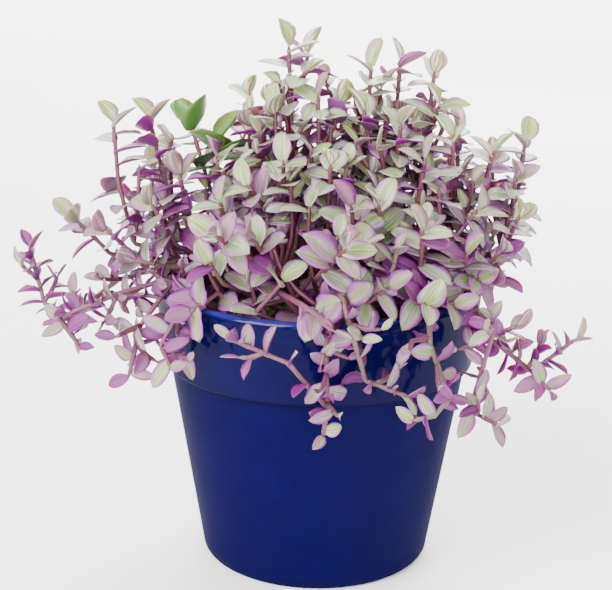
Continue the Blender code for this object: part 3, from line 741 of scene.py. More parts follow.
def grow_leaves(stems, crowd):
    """The leaves of every shoot, as {name: [Leaf, ...]}, those at the stems' ends first."""
    leaves = {name: [] for name in stems}
    for order in range(max(LEAVES_ALONE, *LEAVES_ON_TRAIL)):
        for number, (name, lines) in enumerate(stems.items()):
            for k, line in enumerate(lines):
                if order >= leaf_count(name, k, len(lines)):
                    continue
                rng = np.random.default_rng((SEED, number, k, order))
                twist = np.random.default_rng((SEED, number, k)).uniform(0, 2 * math.pi)
                leaf = grow_leaf(line, order, twist, crowd, rng, name)
                if leaf:
                    leaves[name].append(leaf)
    return leaves


def turned(profile, sides):
    """A solid turned round Z from (radius, height) points that run up the outside from axis to axis."""
    work = bmesh.new()
    chain = [work.verts.new((radius, 0, height)) for radius, height in profile]
    edges = [work.edges.new(pair) for pair in zip(chain, chain[1:])]
    bmesh.ops.spin(work, geom=chain + edges, axis=(0, 0, 1), cent=(0, 0, 0), steps=sides,
                   angle=2 * math.pi, use_merge=True)
    bmesh.ops.remove_doubles(work, verts=work.verts, dist=1e-6)
    bmesh.ops.recalc_face_normals(work, faces=work.faces)
    return work


def lip_points():
    """The rounded lip from the outside to the mouth, as (radius, height) points of half an ellipse."""
    half = LIP_WIDTH / 2
    centre = RIM_RADIUS - half
    foot = POT_HEIGHT - LIP_DEPTH
    turns = np.radians((0, 45, 90, 135, 180))
    return [(centre + half * math.cos(turn), foot + LIP_DEPTH * math.sin(turn)) for turn in turns]


# Everything that only the finer plant has

def leaf_length(place):
    """A leaf's full length at a distance from its stem's end: short at the tip, longest below it."""
    return float(np.interp(place, FILL_LENGTH_PLACES, FILL_LENGTHS))


def fill_places(line, places):
    """Those of the places, in millimetres from a stem's end, that the stem is long enough for."""
    reach = FILL_REACH * length_of(line)
    return [place * MM for place in places if place * MM < reach]


def in_clearing(point):
    """True over the patch of bare soil at the front of the pot."""
    return point[2] < CLEARING_TOP and np.hypot(*(point[:2] - CLEARING)) < CLEARING_RADIUS


def is_bare(point):
    """True where a trailing stem carries leaves farther apart: in front of the pot, and high up."""
    return abs(point[0]) < BARE_TRAIL_REACH or point[2] > BARE_TRAIL_TOP


def fill_leaf(line, place, crowd, rng, owner):
    """The first of several tries at a leaf at this place that is clear of everything, or None."""
    root, ahead, side = place_on(line, place)
    if in_clearing(root):
        return None
    axes = (ahead, side, np.cross(ahead, side))
    trails = owner.startswith("trail")
    full = leaf_length(place) * rng.uniform(*FILL_SIZES) * (TRAIL_LEAF_SHARE if trails else 1)
    wide = float(np.interp(place, FILL_ANGLE_PLACES, FILL_ANGLES))
    fold = rng.uniform(*(YOUNG_FOLD if place < YOUNG_PLACE else TRAIL_FOLD if trails else FILL_FOLD))
    droop = 0.0 if place < YOUNG_PLACE else rng.uniform(*FILL_DROOP)
    lit = rng.random() < (TRAIL_LIT_SHARE if trails else LIT_SHARE[0 if place < LIT_PLACE else 1])
    lift = np.array([0, 0, TRAIL_LEAF_LIFT if trails else 0])
    start = rng.uniform(0, 2 * math.pi)
    light = lit * np.array([*unit(root[:2]) * rng.uniform(*FILL_LIGHT), 1])
    for attempt in range(FILL_TRIES):
        turn = start + attempt * math.radians(GOLDEN_TURN)
        angle = math.radians(wide + rng.normal(0, FILL_ANGLE_SPREAD))
        length = full * (1 - FILL_SHRINK * attempt / FILL_TRIES)
        out, upper = leaf_axes(axes, turn, angle, lift, light)
        shape = blade(root, out, upper, length, fold, droop, place < SMALL_BLADE_PLACE, FILL_MARGIN)
        if in_clearing(root + out * length) or not above_soil(shape[0][2:]):
            continue
        if crowd.clear(*shape, (owner,)):
            crowd.add(*shape, f"{owner} leaves")
            return Leaf(root, out, upper, length, fold, droop, place)
    return None


def dome_point(tips, rng):
    """A place for a shoot's tip: between two neighbouring tips, and at or a little below their line."""
    first = tips[rng.integers(len(tips))]
    near = tips[np.linalg.norm(tips - first, axis=1) < DOME_NEIGHBOUR]
    second = near[rng.integers(len(near))]
    point = first + (second - first) * rng.uniform(*DOME_SHARES)
    point = point + rng.normal(0, DOME_SPREAD, 3) * MM * [1, 1, 0]
    return point - [0, 0, rng.uniform(*DOME_DEPTH)]


def side_route(tip, lines):
    """From the best stem below a tip to that tip: (cost, points), or None where no stem is near."""
    best = None
    for line in lines:
        for start in line[2:-1] if len(line) > 3 else line[1:-1]:
            rise, run = tip[2] - start[2], np.hypot(*(tip[:2] - start[:2]))
            if FILL_RISE[0] < rise < FILL_RISE[1] and run < FILL_SLOPE * rise:
                cost = run + FILL_RISE_COST * rise
                if best is None or cost < best[0]:
                    best = (cost, start)
    if best is None:
        return None
    cost, start = best
    return cost, [start, start + (tip - start) * np.array(SIDE_KNEE), tip]


def try_stem(route, crowd, rng, owner):
    """A thin stem along a route, bent a little more at each try, or None where no way is clear."""
    for attempt in range(FILL_STEM_TRIES):
        middle = [point + rng.normal(0, 1, 3) * attempt * FILL_STEM_BEND for point in route[1:-1]]
        line = smooth_line([route[0], *middle, route[-1]], FILL_STEM_STEP)
        shape = tube(line, FINE_TIP_RADIUS, FINE_TIP_RADIUS, STEM_SIDES)
        if above_soil(shape[0]) and crowd.clear(*shape, (owner,)):
            crowd.add(*shape, owner)
            return line
    return None


def fill_dome(stems, crowd):
    """More side shoots between those of the solid plant, as {name: [line, ...]}."""
    rng = np.random.default_rng((SEED, 1))
    added = {name: [] for name in stems}
    rising = {name: lines for name, lines in stems.items() if not name.startswith(("trail", "green"))}
    tips = np.array([line[-1] for lines in rising.values() for line in lines])
    taken = list(tips)
    for _ in range(DOME_TRIES):
        tip = dome_point(tips, rng)
        crowded = np.linalg.norm(np.array(taken) - tip, axis=1).min() < DOME_SPACING
        if crowded or in_clearing(tip) or np.hypot(*tip[:2]) > DOME_REACH:
            continue
        routes = [(name, side_route(tip, lines)) for name, lines in rising.items()]
        routes = [(route[0], name, route[1]) for name, route in routes if route]
        for _, name, route in sorted(routes, key=lambda item: item[:2])[:DOME_ROUTES]:
            line = try_stem(route, crowd, rng, name)
            if line is not None:
                added[name].append(line)
                taken.append(tip)
                break
    return added


def fill_trails(stems, crowd):
    """Short side shoots on the trailing stems, as {name: [line, ...]}."""
    added = {}
    for number, (name, lines) in enumerate(stems.items()):
        if not name.startswith("trail"):
            continue
        rng = np.random.default_rng((SEED, 2, number))
        added[name] = []
        for line in lines:
            for place in np.arange(*TRAIL_SHOOT_PLACES):
                start, ahead, _ = place_on(line, place)
                near_foot = np.linalg.norm(start - line[0]) < TRAIL_SHOOT_START
                if near_foot or rng.random() > TRAIL_SHOOT_SHARE:
                    continue
                aside = rng.normal(0, 1, 3)
                aside = unit(aside - ahead * (aside @ ahead))
                away = unit(TRAIL_SHOOT_AHEAD * ahead + aside + [0, 0, TRAIL_SHOOT_LIFT])
                length = rng.uniform(*TRAIL_SHOOT_LENGTH)
                middle = start + away * 0.5 * length - [0, 0, TRAIL_SHOOT_SAG]
                grown = try_stem([start, middle, start + away * length], crowd, rng, name)
                if grown is not None:
                    added[name].append(grown)
    return added


def main_places(name):
    """The places of the leaves between the main ones, on the stems that the solid plant has."""
    if name == "green_sprig":
        return GREEN_PLACES
    return TRAIL_PLACES if name.startswith("trail") else FILL_PLACES


def leaf_work(stems, added):
    """Every leaf still to grow as (place, shoot's number, stem's number, name, line), tips first."""
    work = []
    for number, (name, lines) in enumerate(stems.items()):
        for k, line in enumerate(lines + added.get(name, [])):
            places = main_places(name) if k < len(lines) else ADDED_PLACES
            for order, place in enumerate(fill_places(line, places)):
                if not (name.startswith("trail") and order % 2 and is_bare(place_on(line, place)[0])):
                    work.append((place, number, k, name, line))
    return sorted(work, key=lambda item: item[:3])


def fill_leaves(stems, added, crowd):
    """The leaves between the main ones on every stem, as {name: [Leaf, ...]}, nearest the tips first."""
    found = {name: [] for name in stems}
    for place, number, k, name, line in leaf_work(stems, added):
        rng = np.random.default_rng((SEED, 3, number, k, round(place * 1e5)))
        leaf = fill_leaf(line, place, crowd, rng, name)
        if leaf:
            found[name].append(leaf)
    return found


# Fine surfaces

def leaf_grid():
    """The (u, v, side) of each of a leaf's points, in rings of eight and with the tip last.

    Two points of a ring lie on the edges, three above and three below."""
    u = np.tile(np.array(LEAF_ACROSS), len(LEAF_ALONG))
    v = np.repeat(np.array(LEAF_ALONG), len(LEAF_ACROSS))
    face = np.tile(np.array(LEAF_FACE), len(LEAF_ALONG))
    return np.append(u, 0.0), np.append(v, 1.0), np.append(face, 0.0)


def leaf_half_width(v):
    """Half a leaf's width over its greatest, v^0.5 (1 - v)^0.6 (1 - 0.2 v^6) over its peak.

    The base is wider than that, where it clasps the stem."""
    outline = v**0.5 * (1 - v) ** 0.6 * (1 - 0.2 * v**6) / OUTLINE_PEAK
    return np.maximum(outline, BASE_WIDTH * (1 - v / LEAF_ALONG[1]))


def leaf_faces():
    """One leaf's faces, and which are underneath. The strips along its thin edges are triangles, split
    from the edge towards the midrib and the tip above and below alike, so that they never cross."""
    ring, rows = len(LEAF_ACROSS), len(LEAF_ALONG)
    faces, under = [list(range(ring))], [True]
    for row in range(rows - 1):
        for k in range(ring):
            here, beside = row * ring + k, row * ring + (k + 1) % ring
            if k in (0, 4):
                split = [[here, here + ring, beside + ring], [here, beside + ring, beside]]
            elif k in (3, 7):
                split = [[here, here + ring, beside], [beside, here + ring, beside + ring]]
            else:
                split = [[here, here + ring, beside + ring, beside]]
            faces += split
            under += [k > 3] * len(split)
    last = (rows - 1) * ring
    faces += [[last + k, rows * ring, last + (k + 1) % ring] for k in range(ring)]
    return faces, under + [k > 3 for k in range(ring)]


def edge_wave(v, count, rng):
    """How far a leaf's edge is up along v, over its length: a slow sine of its own for each leaf."""
    height = rng.normal(0, EDGE_WAVE, (count, 1))
    waves = rng.uniform(*EDGE_WAVES, (count, 1))
    return height * np.sin(v * waves + rng.uniform(*EDGE_WAVE_STARTS, (count, 1)))


def leaf_surfaces(leaves, rng, aspects, growth):
    """All the leaves of a shoot as points, faces, their shares of width and length, and which are under.

    Along v the midrib falls as droop v^2 and bends aside as v^2. Across u both halves rise as |u|^1.7
    times the fold, and the two faces lie half the thickness (1 - u^2) above and below the middle. A
    slow wave runs along the edges."""
    u, v, face = leaf_grid()
    columns = [np.array(column)[:, None] for column in zip(*leaves)]
    root, out, upper, length, fold, droop = columns[:6]
    length = length * growth
    across = np.cross(upper, out)
    count = len(leaves)
    aspect = rng.uniform(*aspects, (count, 1))
    bend = rng.normal(0, LEAF_BEND, (count, 1))
    wave = edge_wave(v, count, rng)
    half = 0.5 * aspect * length * leaf_half_width(v)
    rise = FOLD_SHARE * fold * half * np.abs(u) ** FOLD_POWER
    rise = rise + wave * length * np.abs(u) ** 2 * np.sign(u) - droop * length * v**2
    rise = rise + 0.5 * FINE_THICKNESS * face * (1 - u**2) * (1 - TIP_THINNING * v)
    aside = u * half + bend * length * v**2
    points = root + out * (length * v)[:, :, None]
    points = points + across * aside[:, :, None] + upper * rise[:, :, None]
    single, under = leaf_faces()
    faces = [[point + len(u) * n for point in one] for n in range(count) for one in single]
    where = np.broadcast_to(np.stack([0.5 + 0.5 * u, v], axis=1), (count, len(u), 2)).reshape(-1, 2)
    return points.reshape(-1, 3), faces, where, np.tile(under, count)


def rounded_line(line, step):
    """The same line with its corners rounded close to them, as evenly spaced points."""
    points = [a + (b - a) * share for a, b in zip(line, line[1:]) for share in CORNER_SHARES]
    return smooth_line(points + [line[-1]], step)


def ring_faces(rows, sides):
    """The four-sided faces between rings of points that follow one another."""
    row, k = np.meshgrid(np.arange(rows - 1), np.arange(sides), indexing="ij")
    here, beside = (row * sides + k).ravel(), (row * sides + (k + 1) % sides).ravel()
    return np.stack([here, beside, beside + sides, here + sides], axis=1).tolist()


def stem_radii(from_end, first_radius, places):
    """A stem's radius at distances from its end: it falls in a straight line to the tip's.

    Each leaf's place swells it by a bell, 1 + swell e^(-d^2), and the tip is rounded."""
    radius = np.linspace(first_radius, FINE_TIP_RADIUS, len(from_end))
    bells = [np.exp(-(((from_end - place) / NODE_REACH) ** 2)) for place in places if place > FIRST_NODE]
    if bells:
        radius = radius * (1 + NODE_SWELL * np.max(bells, axis=0))
    return radius * np.clip(from_end / FINE_TIP_RADIUS + TIP_SHARE, 0, 1)


def stem_surface(line, first_radius, places):
    """A stem's points, faces and (round, along) shares, with a swelling at each leaf's place."""
    fine = rounded_line(line, FINE_STEP)
    along = distances(fine)
    radius = stem_radii(along[-1] - along, first_radius, places)
    points = rings_round(fine, radius, FINE_SIDES)
    last = (len(fine) - 1) * FINE_SIDES
    faces = ring_faces(len(fine), FINE_SIDES)
    faces += [list(range(FINE_SIDES))[::-1], [last + k for k in range(FINE_SIDES)]]
    where = np.stack([np.tile(np.arange(FINE_SIDES) / FINE_SIDES, len(fine)),
                      np.repeat(along / max(along[-1], MM), FINE_SIDES)], axis=1)
    return points, faces, where


def piece(name, points, faces, finishes, which=None, where=None, tone=None, smooth=True):
    """A mesh object at the origin, its points in metres.

    which gives each face's finish, where each point's UV, and tone each point's three numbers."""
    mesh = bpy.data.meshes.new(name)
    mesh.from_pydata(np.asarray(points, float).tolist(), [], [list(face) for face in faces])
    for finish in finishes:
        mesh.materials.append(finish)
    if which is not None:
        mesh.polygons.foreach_set("material_index", np.asarray(which, np.int32))
    if where is not None:
        corners = np.empty(len(mesh.loops), np.int32)
        mesh.loops.foreach_get("vertex_index", corners)
        layer = mesh.uv_layers.new(name="surface")
        layer.data.foreach_set("uv", np.asarray(where, np.float32)[corners].ravel())
    if tone is not None:
        colour = np.column_stack([tone, np.ones(len(tone))]).astype(np.float32)
        layer = mesh.attributes.new("tone", "FLOAT_COLOR", "POINT")
        layer.data.foreach_set("color", colour.ravel())
    if smooth:
        mesh.shade_smooth()
    mesh.update()
    obj = bpy.data.objects.new(name, mesh)
    bpy.context.scene.collection.objects.link(obj)
    return obj


def pinkness(points, name, rng):
    """How pink leaves are at these points: more low down, and more on the stems that trail."""
    base = np.clip((PINK_BELOW - points[:, 2]) / PINK_RANGE, 0, 1) * LOW_PINK
    if name.startswith("trail"):
        base = TRAIL_PINK + (1 - TRAIL_PINK) * base
    return np.clip(base + rng.normal(*PINK_SPREAD, len(points)), 0, 1)


def leaf_tones(leaves, name, rng):
    """Each leaf's age, pinkness and chance."""
    age = np.clip(np.array([leaf.place for leaf in leaves]) / OLD_PLACE, 0, 1)
    roots = np.array([leaf.root for leaf in leaves])
    pink = np.clip(pinkness(roots, name, rng) + AGE_PINK * age, 0, 1)
    return np.stack([age, pink, rng.random(len(leaves))], axis=1)


def places_along(line, leaves):
    """The distances from a line's end of those leaves that grow on it."""
    return [leaf.place for leaf in leaves
            if np.linalg.norm(place_on(line, leaf.place)[0] - leaf.root) < MM]


def fine_shoot(number, name, lines, leaves, finishes):
    """One leafy stem with all its leaves, as the piece that stands for its node."""
    rng = np.random.default_rng((SEED, 4, number))
    green, trails = name == "green_sprig", name.startswith("trail")
    aspects = GREEN_ASPECT if green else TRAIL_ASPECT if trails else FINE_ASPECT
    shape, faces, shares, under = leaf_surfaces(leaves, rng, aspects, GREEN_GROWTH if green else 1.0)
    which = list(np.where(under, 1, 0))
    points, where = [shape], [shares]
    tone = [np.repeat(leaf_tones(leaves, name, rng), len(shape) // len(leaves), axis=0)]
    start = len(shape)
    for k, line in enumerate(lines):
        shape, tube_faces, shares = stem_surface(
            line, FINE_SIDE_RADIUS if k else FINE_FOOT_RADIUS, places_along(line, leaves))
        points.append(shape)
        where.append(shares)
        faces += [[point + start for point in face] for face in tube_faces]
        which += [2] * len(tube_faces)
        own = (pinkness(line[-1:], name, rng)[0], rng.random())
        tone.append(np.column_stack([1 - shares[:, 1], np.tile(own, (len(shape), 1))]))
        start += len(shape)
    made = piece(f"{name}_shoot", np.vstack(points), faces, finishes, which, np.vstack(where),
                 np.vstack(tone))
    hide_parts(name)
    return made


def slot_of(name):
    """The material slot of a shoot, by its place on the plant."""
    if name == "green_sprig":
        return "green_leaf"
    return "pink_leaf" if name.startswith(("trail", "rim", "soil")) else "pale_leaf"


# Finishes

class Value:
    """A socket of a finish, on which Python's operators add Math nodes."""

    def __init__(self, finish, socket):
        self.finish = finish
        self.socket = socket

    def math(self, operation, *numbers):
        return self.finish.node("ShaderNodeMath", {"operation": operation}, dict(enumerate(numbers)))

    def __add__(self, other):
        return self.math("ADD", self, other)

    __radd__ = __add__

    def __sub__(self, other):
        return self.math("SUBTRACT", self, other)

    def __rsub__(self, other):
        return self.math("SUBTRACT", other, self)

    def __mul__(self, other):
        return self.math("MULTIPLY", self, other)

    __rmul__ = __mul__

    def __abs__(self):
        return self.math("ABSOLUTE", self)

    def step(self, low, high):
        """A smooth step from 0 at low to 1 at high."""
        return self.finish.node("ShaderNodeMapRange", {"interpolation_type": "SMOOTHSTEP"},
                                {0: self, 1: low, 2: high})


class Finish:
    """A Principled material: constants on its own sockets, and nodes for what varies over it."""

    def __init__(self, name, **constants):
        self.material = bpy.data.materials.new(name)
        self.material.use_nodes = True
        self.tree = self.material.node_tree
        self.shader = self.tree.nodes["Principled BSDF"]
        for key, value in constants.items():
            self.shader.inputs[key.replace("_", " ")].default_value = value

    def node(self, kind, settings=None, inputs=None, output=0):
        """Adds a node with its settings and inputs, and returns one of its outputs."""
        made = self.tree.nodes.new(kind)
        for key, value in (settings or {}).items():
            setattr(made, key, value)
        for key, value in (inputs or {}).items():
            self.join(made.inputs[key], value)
        return Value(self, made.outputs[output])

    def join(self, socket, value):
        """Links a value to a socket, or sets the socket to a plain number or colour."""
        if isinstance(value, Value):
            self.tree.links.new(value.socket, socket)
        elif isinstance(value, tuple) and socket.type == "RGBA":
            socket.default_value = (*value, 1)
        else:
            socket.default_value = value

    def feed(self, name, value):
        """Feeds one of the shader's sockets."""
        self.join(self.shader.inputs[name], value)

    def mix(self, share, first, second):
        """A colour that goes from the first to the second."""
        return self.node("ShaderNodeMix", {"data_type": "RGBA"}, {0: share, 6: first, 7: second}, 2)

    def layers(self, colour, *coats):
        """A colour with others laid over it in turn, each given as (share, colour)."""
        for share, coat in coats:
            colour = self.mix(share, colour, coat)
        return colour

    def vector(self, x, y, z):
        return self.node("ShaderNodeCombineXYZ", None, {0: x, 1: y, 2: z})

    def parts(self, vector):
        """The three numbers of a vector."""
        made = self.tree.nodes.new("ShaderNodeSeparateXYZ")
        self.join(made.inputs[0], vector)
        return [Value(self, output) for output in made.outputs]

    def place(self):
        """The point's place on the object, in metres."""
        return self.node("ShaderNodeTexCoord", output=3)

    def surface(self):
        """The piece's own UV map."""
        return self.node("ShaderNodeUVMap", {"uv_map": "surface"})

    def shoot(self):
        """What a shoot's look varies by: u across and v along, the share of the way from u's middle to
        its ends, and the age, pinkness and chance that each point carries."""
        u, v, _ = self.parts(self.surface())
        tone = self.node("ShaderNodeAttribute", {"attribute_name": "tone"}, output=1)
        return (u, v, abs(u * 2 - 1), *self.parts(tone))

    def noise(self, vector, scale, detail=2.0, roughness=0.5):
        return self.node("ShaderNodeTexNoise", None,
                         {"Vector": vector, "Scale": scale, "Detail": detail, "Roughness": roughness})

    def streaks(self, u, v, chance, scales, moves, detail=2.0, roughness=0.5):
        """Noise drawn out by its scales across and along a leaf, and moved by chance for each leaf."""
        place = self.vector(u * scales[0] + chance * moves[0], v * scales[1], chance * moves[1])
        return self.noise(place, 1.0, detail, roughness)

    def bump(self, height, distance):
        """Raises the surface by a height times a distance."""
        inputs = {"Strength": 1.0, "Distance": distance, "Height": height}
        self.feed("Normal", self.node("ShaderNodeBump", None, inputs))


def srgb(red, green, blue):
    """A colour given as three numbers from 0 to 255, as a screen shows it, in linear light."""
    shares = np.array([red, green, blue]) / 255
    linear = np.where(shares <= 0.04045, shares / 12.92, ((shares + 0.055) / 1.055) ** 2.4)
    return tuple(float(share) for share in linear)


def leaf_upper():
    """A leaf's upper face: sage green with cream streaks from base to tip, and a pale or lilac margin.

    Its green is yellower on young leaves and turns mauve on old ones, deep in the mound, in part
    their own tint and in part painted shade there. Over it lie broad and fine streaks, mauve clouds, a
    darker grain, a dulling of pink leaves, the margin, a lilac flush from the edges and the tip, a
    rose one on the pinkest leaves, and the green midrib."""
    finish = Finish("leaf_upper", Roughness=0.46, Subsurface_Weight=0.15, Subsurface_Scale=0.0012)
    u, v, aside, age, pink, chance = finish.shoot()
    streak = finish.streaks(u, v, chance, (8, 0.9), (37, 91), detail=3.0, roughness=0.6)
    fine = finish.streaks(u, v, chance, (20, 1.1), (53, 17))
    grain = finish.streaks(u, v, chance, (46, 60), (19, 83))
    cloud = finish.noise(finish.vector(u * 2.5, v * 2.5 + chance * 29, chance * 61), 1.0)
    cream = (streak + 0.08 * aside + 0.12 * chance).step(0.59, 0.72)
    margin = (aside + (cloud - 0.5) * 0.4 + pink * 0.20).step(0.76, 0.99)
    lilac = (aside * 0.75 + v * 0.30 + pink * 0.30 + (cloud - 0.5) * 0.9).step(0.54, 1.12)
    rose = (pink + (chance - 0.5) * 1.2).step(0.82, 1.14)
    midrib = 1 - aside
    finish.feed("Base Color", finish.layers(
        srgb(132, 164, 54),
        (age.step(0.02, 0.16), srgb(114, 152, 76)),
        # Mauve on old leaves, deep in the mound: partly their own tint and partly painted shade
        (age.step(0.25, 0.8), srgb(128, 86, 122)),
        (cream * (0.26 + age.step(0.0, 0.12) * 0.26 - 0.30 * age), srgb(230, 216, 228)),
        (fine.step(0.50, 0.59) * 0.52, finish.mix(pink, srgb(220, 214, 204), srgb(206, 158, 194))),
        ((cloud + pink * 0.25).step(0.56, 0.74) * 0.26, srgb(160, 112, 152)),
        (grain.step(0.40, 0.62) * 0.16, srgb(92, 108, 76)),
        (pink.step(0.45, 1.0) * 0.40, srgb(98, 100, 66)),
        (margin * 0.72, finish.mix(pink, srgb(228, 188, 210), srgb(156, 66, 162))),
        (lilac * (0.30 + 0.56 * pink), srgb(142, 60, 148)),
        (rose * (0.40 + 0.50 * pink), finish.mix(pink, srgb(132, 8, 124), srgb(104, 0, 102))),
        (midrib.step(0.90, 1.0) * 0.30, srgb(128, 124, 78)),
    ))
    finish.feed("Roughness", 0.40 + 0.16 * fine)
    finish.bump(fine + 0.6 * streak + 0.3 * grain - 0.8 * midrib.step(0.88, 1.0), 0.00016)
    return finish.material


def leaf_under():
    """A leaf's underside: mauve, darker with age, with fine streaks, and magenta on some leaves.

    Some old leaves are dark plum there. Young ones are yellow-green with cream streaks, and each edge
    is paler."""
    finish = Finish("leaf_under", Roughness=0.5, Specular_IOR_Level=0.3, Subsurface_Weight=0.2,
                    Subsurface_Scale=0.0014)
    u, v, aside, age, pink, chance = finish.shoot()
    streak = finish.streaks(u, v, chance, (8, 0.9), (37, 91), detail=3.0, roughness=0.6)
    fine = finish.streaks(u, v, chance, (22, 1.4), (41, 13))
    old = (age * 0.9 + pink * 0.8 + (chance - 0.5) * 0.5).step(0.05, 0.75)
    vivid = (chance + pink * 0.45).step(0.62, 0.80)
    dark = (1 - chance).step(0.70, 0.85) * age.step(0.1, 0.6)
    young = 1 - (age + (chance - 0.5) * 0.08).step(0.03, 0.12)
    green = finish.layers(
        srgb(120, 140, 70),
        (streak.step(0.47, 0.57), srgb(216, 204, 200)),
        (aside.step(0.70, 1.0) * 0.6, srgb(200, 156, 186)),
    )
    finish.feed("Base Color", finish.layers(
        srgb(114, 54, 118),
        (old, srgb(76, 15, 80)),
        (fine.step(0.5, 0.7) * 0.35, srgb(146, 68, 148)),
        (vivid * 0.88, finish.mix(pink, srgb(128, 0, 132), srgb(102, 0, 104))),
        (dark * 0.8, srgb(58, 18, 52)),
        (young * (1 - 0.8 * pink), green),
        (aside.step(0.86, 0.98) * 0.4, srgb(206, 150, 192)),
    ))
    finish.feed("Roughness", 0.42 + 0.2 * fine)
    finish.bump(fine, 0.00014)
    return finish.material


def green_leaf():
    """The leaves of the one sprig without pale streaks: plain green, with a lighter edge."""
    finish = Finish("green_leaf_surface", Roughness=0.4, Subsurface_Weight=0.15, Subsurface_Scale=0.001)
    u, v, aside, age, _, chance = finish.shoot()
    fine = finish.streaks(u, v, chance, (24, 1.4), (41, 13))
    finish.feed("Base Color", finish.layers(
        srgb(76, 118, 50),
        (age.step(0.0, 0.4), srgb(44, 84, 44)),
        (fine.step(0.45, 0.7) * 0.30, srgb(90, 124, 74)),
        (aside.step(0.88, 0.98) * 0.4, srgb(132, 150, 110)),
    ))
    finish.feed("Roughness", 0.34 + 0.18 * fine)
    finish.bump(fine, 0.00014)
    return finish.material


def stem_skin():
    """A stem: maroon where it rises, rosy or tan where it trails, streaked, with paler young ends."""
    finish = Finish("stem_skin", Roughness=0.4, Subsurface_Weight=0.1, Subsurface_Scale=0.001)
    u, v, _, age, pink, chance = finish.shoot()
    streak = finish.noise(finish.vector(u * 9, v * 5 + chance * 31, chance * 47), 1.0, detail=3.0)
    trailing = finish.mix(chance.step(0.55, 0.70), srgb(106, 56, 80), srgb(102, 80, 72))
    finish.feed("Base Color", finish.layers(
        srgb(84, 30, 52),
        (pink.step(0.40, 0.90), trailing),
        ((1 - age).step(0.80, 1.0) * 0.55, srgb(104, 48, 64)),
        (streak.step(0.45, 0.7) * 0.35, srgb(98, 44, 60)),
    ))
    finish.feed("Roughness", 0.34 + 0.2 * streak)
    finish.bump(streak, 0.0002)
    return finish.material


def cobalt_glaze():
    """The glaze: deep cobalt, glossier on the band, thinner and lighter on the lip, with faint waves,
    and painted shade darkening the recess under the band.
    """
    finish = Finish("cobalt_glaze_surface", Specular_IOR_Level=0.0, Coat_Roughness=0.08)
    place = finish.place()
    height = finish.parts(place)[2]
    mottle = finish.noise(place, 60.0, detail=4.0)
    speck = finish.noise(place, 900.0, detail=1.0)
    waves = finish.noise(place, 55.0, detail=1.0)
    band = height.step(BAND_FOOT_HEIGHT - 0.002, BAND_FOOT_HEIGHT + 0.001)
    lip = height.step(POT_HEIGHT - 0.0020, POT_HEIGHT - 0.0002)
    # A mask of the recess under the band: it carries painted shade there, and a rougher glaze
    groove_shade = 1 - abs(height - BAND_FOOT_HEIGHT).step(0.0008, 0.0022)
    finish.feed("Base Color", finish.layers(
        (0.0020, 0.0008, 0.031),
        (mottle.step(0.35, 0.7), (0.0023, 0.0009, 0.035)),
        (lip * 0.5, (0.03, 0.025, 0.24)),
        (speck.step(0.70, 0.78) * 0.25, (0.0006, 0.001, 0.018)),
        # Painted shade: the recess under the band is darkened as if shade lay in it
        (groove_shade * 0.6, (0.0008, 0.0009, 0.014)),
    ))
    finish.feed("Roughness", 0.24 - 0.12 * band + 0.05 * mottle + 0.6 * groove_shade)
    finish.feed("Coat Weight", 0.06 + 0.06 * band + 0.45 * lip)
    finish.bump(waves * (0.10 + 0.90 * band) + 0.03 * speck, 0.0007)
    return finish.material


def soil_surface():
    """Peat: dark brown grains, lighter fibres, and soft green moss in patches."""
    finish = Finish("soil_surface", Roughness=0.95, Specular_IOR_Level=0.2)
    place = finish.place()
    grain = finish.noise(place, 900.0, detail=4.0, roughness=0.7)
    lump = finish.noise(place, 210.0, detail=3.0)
    patch = finish.noise(place, 48.0)
    fibre = finish.noise(place, 500.0, detail=1.0)
    mossy = (patch + (grain - 0.5) * 0.35).step(0.52, 0.60)
    finish.feed("Base Color", finish.layers(
        srgb(34, 25, 20),
        (grain.step(0.3, 0.7), srgb(86, 66, 52)),
        (lump.step(0.55, 0.7) * 0.5, srgb(108, 86, 66)),
        (fibre.step(0.66, 0.7) * 0.5, srgb(140, 116, 92)),
        (mossy * 0.85, finish.mix(grain.step(0.35, 0.65), srgb(58, 60, 30), srgb(118, 118, 62))),
    ))
    finish.bump(grain + 0.6 * lump, 0.0012)
    return finish.material


def moss_tuft():
    """Moss: short yellow-green leaves, darker at their feet."""
    finish = Finish("moss_tuft", Roughness=0.8, Specular_IOR_Level=0.2)
    _, v, _ = finish.parts(finish.surface())
    grain = finish.noise(finish.place(), 400.0)
    colour = finish.mix((v * 0.7 + grain * 0.6).step(0.3, 1.0), srgb(50, 56, 26), srgb(140, 140, 74))
    finish.feed("Base Color", colour)
    return finish.material


def floor_finish():
    """A plain pale floor, very slightly uneven in tone."""
    finish = Finish("floor_finish", Specular_IOR_Level=0.25)
    cloud = finish.noise(finish.place(), 3.0)
    finish.feed("Base Color", finish.mix(cloud, (0.88, 0.88, 0.87), (0.91, 0.91, 0.90)))
    finish.feed("Roughness", 0.55 + 0.1 * cloud)
    return finish.material


# The pot and the soil

def arc(centre, radii, first, last, count):
    """Points of (radius, height) along an ellipse's arc, from one angle to another in degrees."""
    turns = np.radians(np.linspace(first, last, count))
    return [(centre[0] + radii[0] * math.cos(t), centre[1] + radii[1] * math.sin(t)) for t in turns]


def rings_at(radius, height, sides):
    """Rings of points round Z, at each radius and height."""
    turn = np.arange(sides) * 2 * math.pi / sides
    return np.stack([np.outer(radius, np.cos(turn)), np.outer(radius, np.sin(turn)),
                     np.repeat(np.array(height)[:, None], sides, axis=1)], axis=-1)


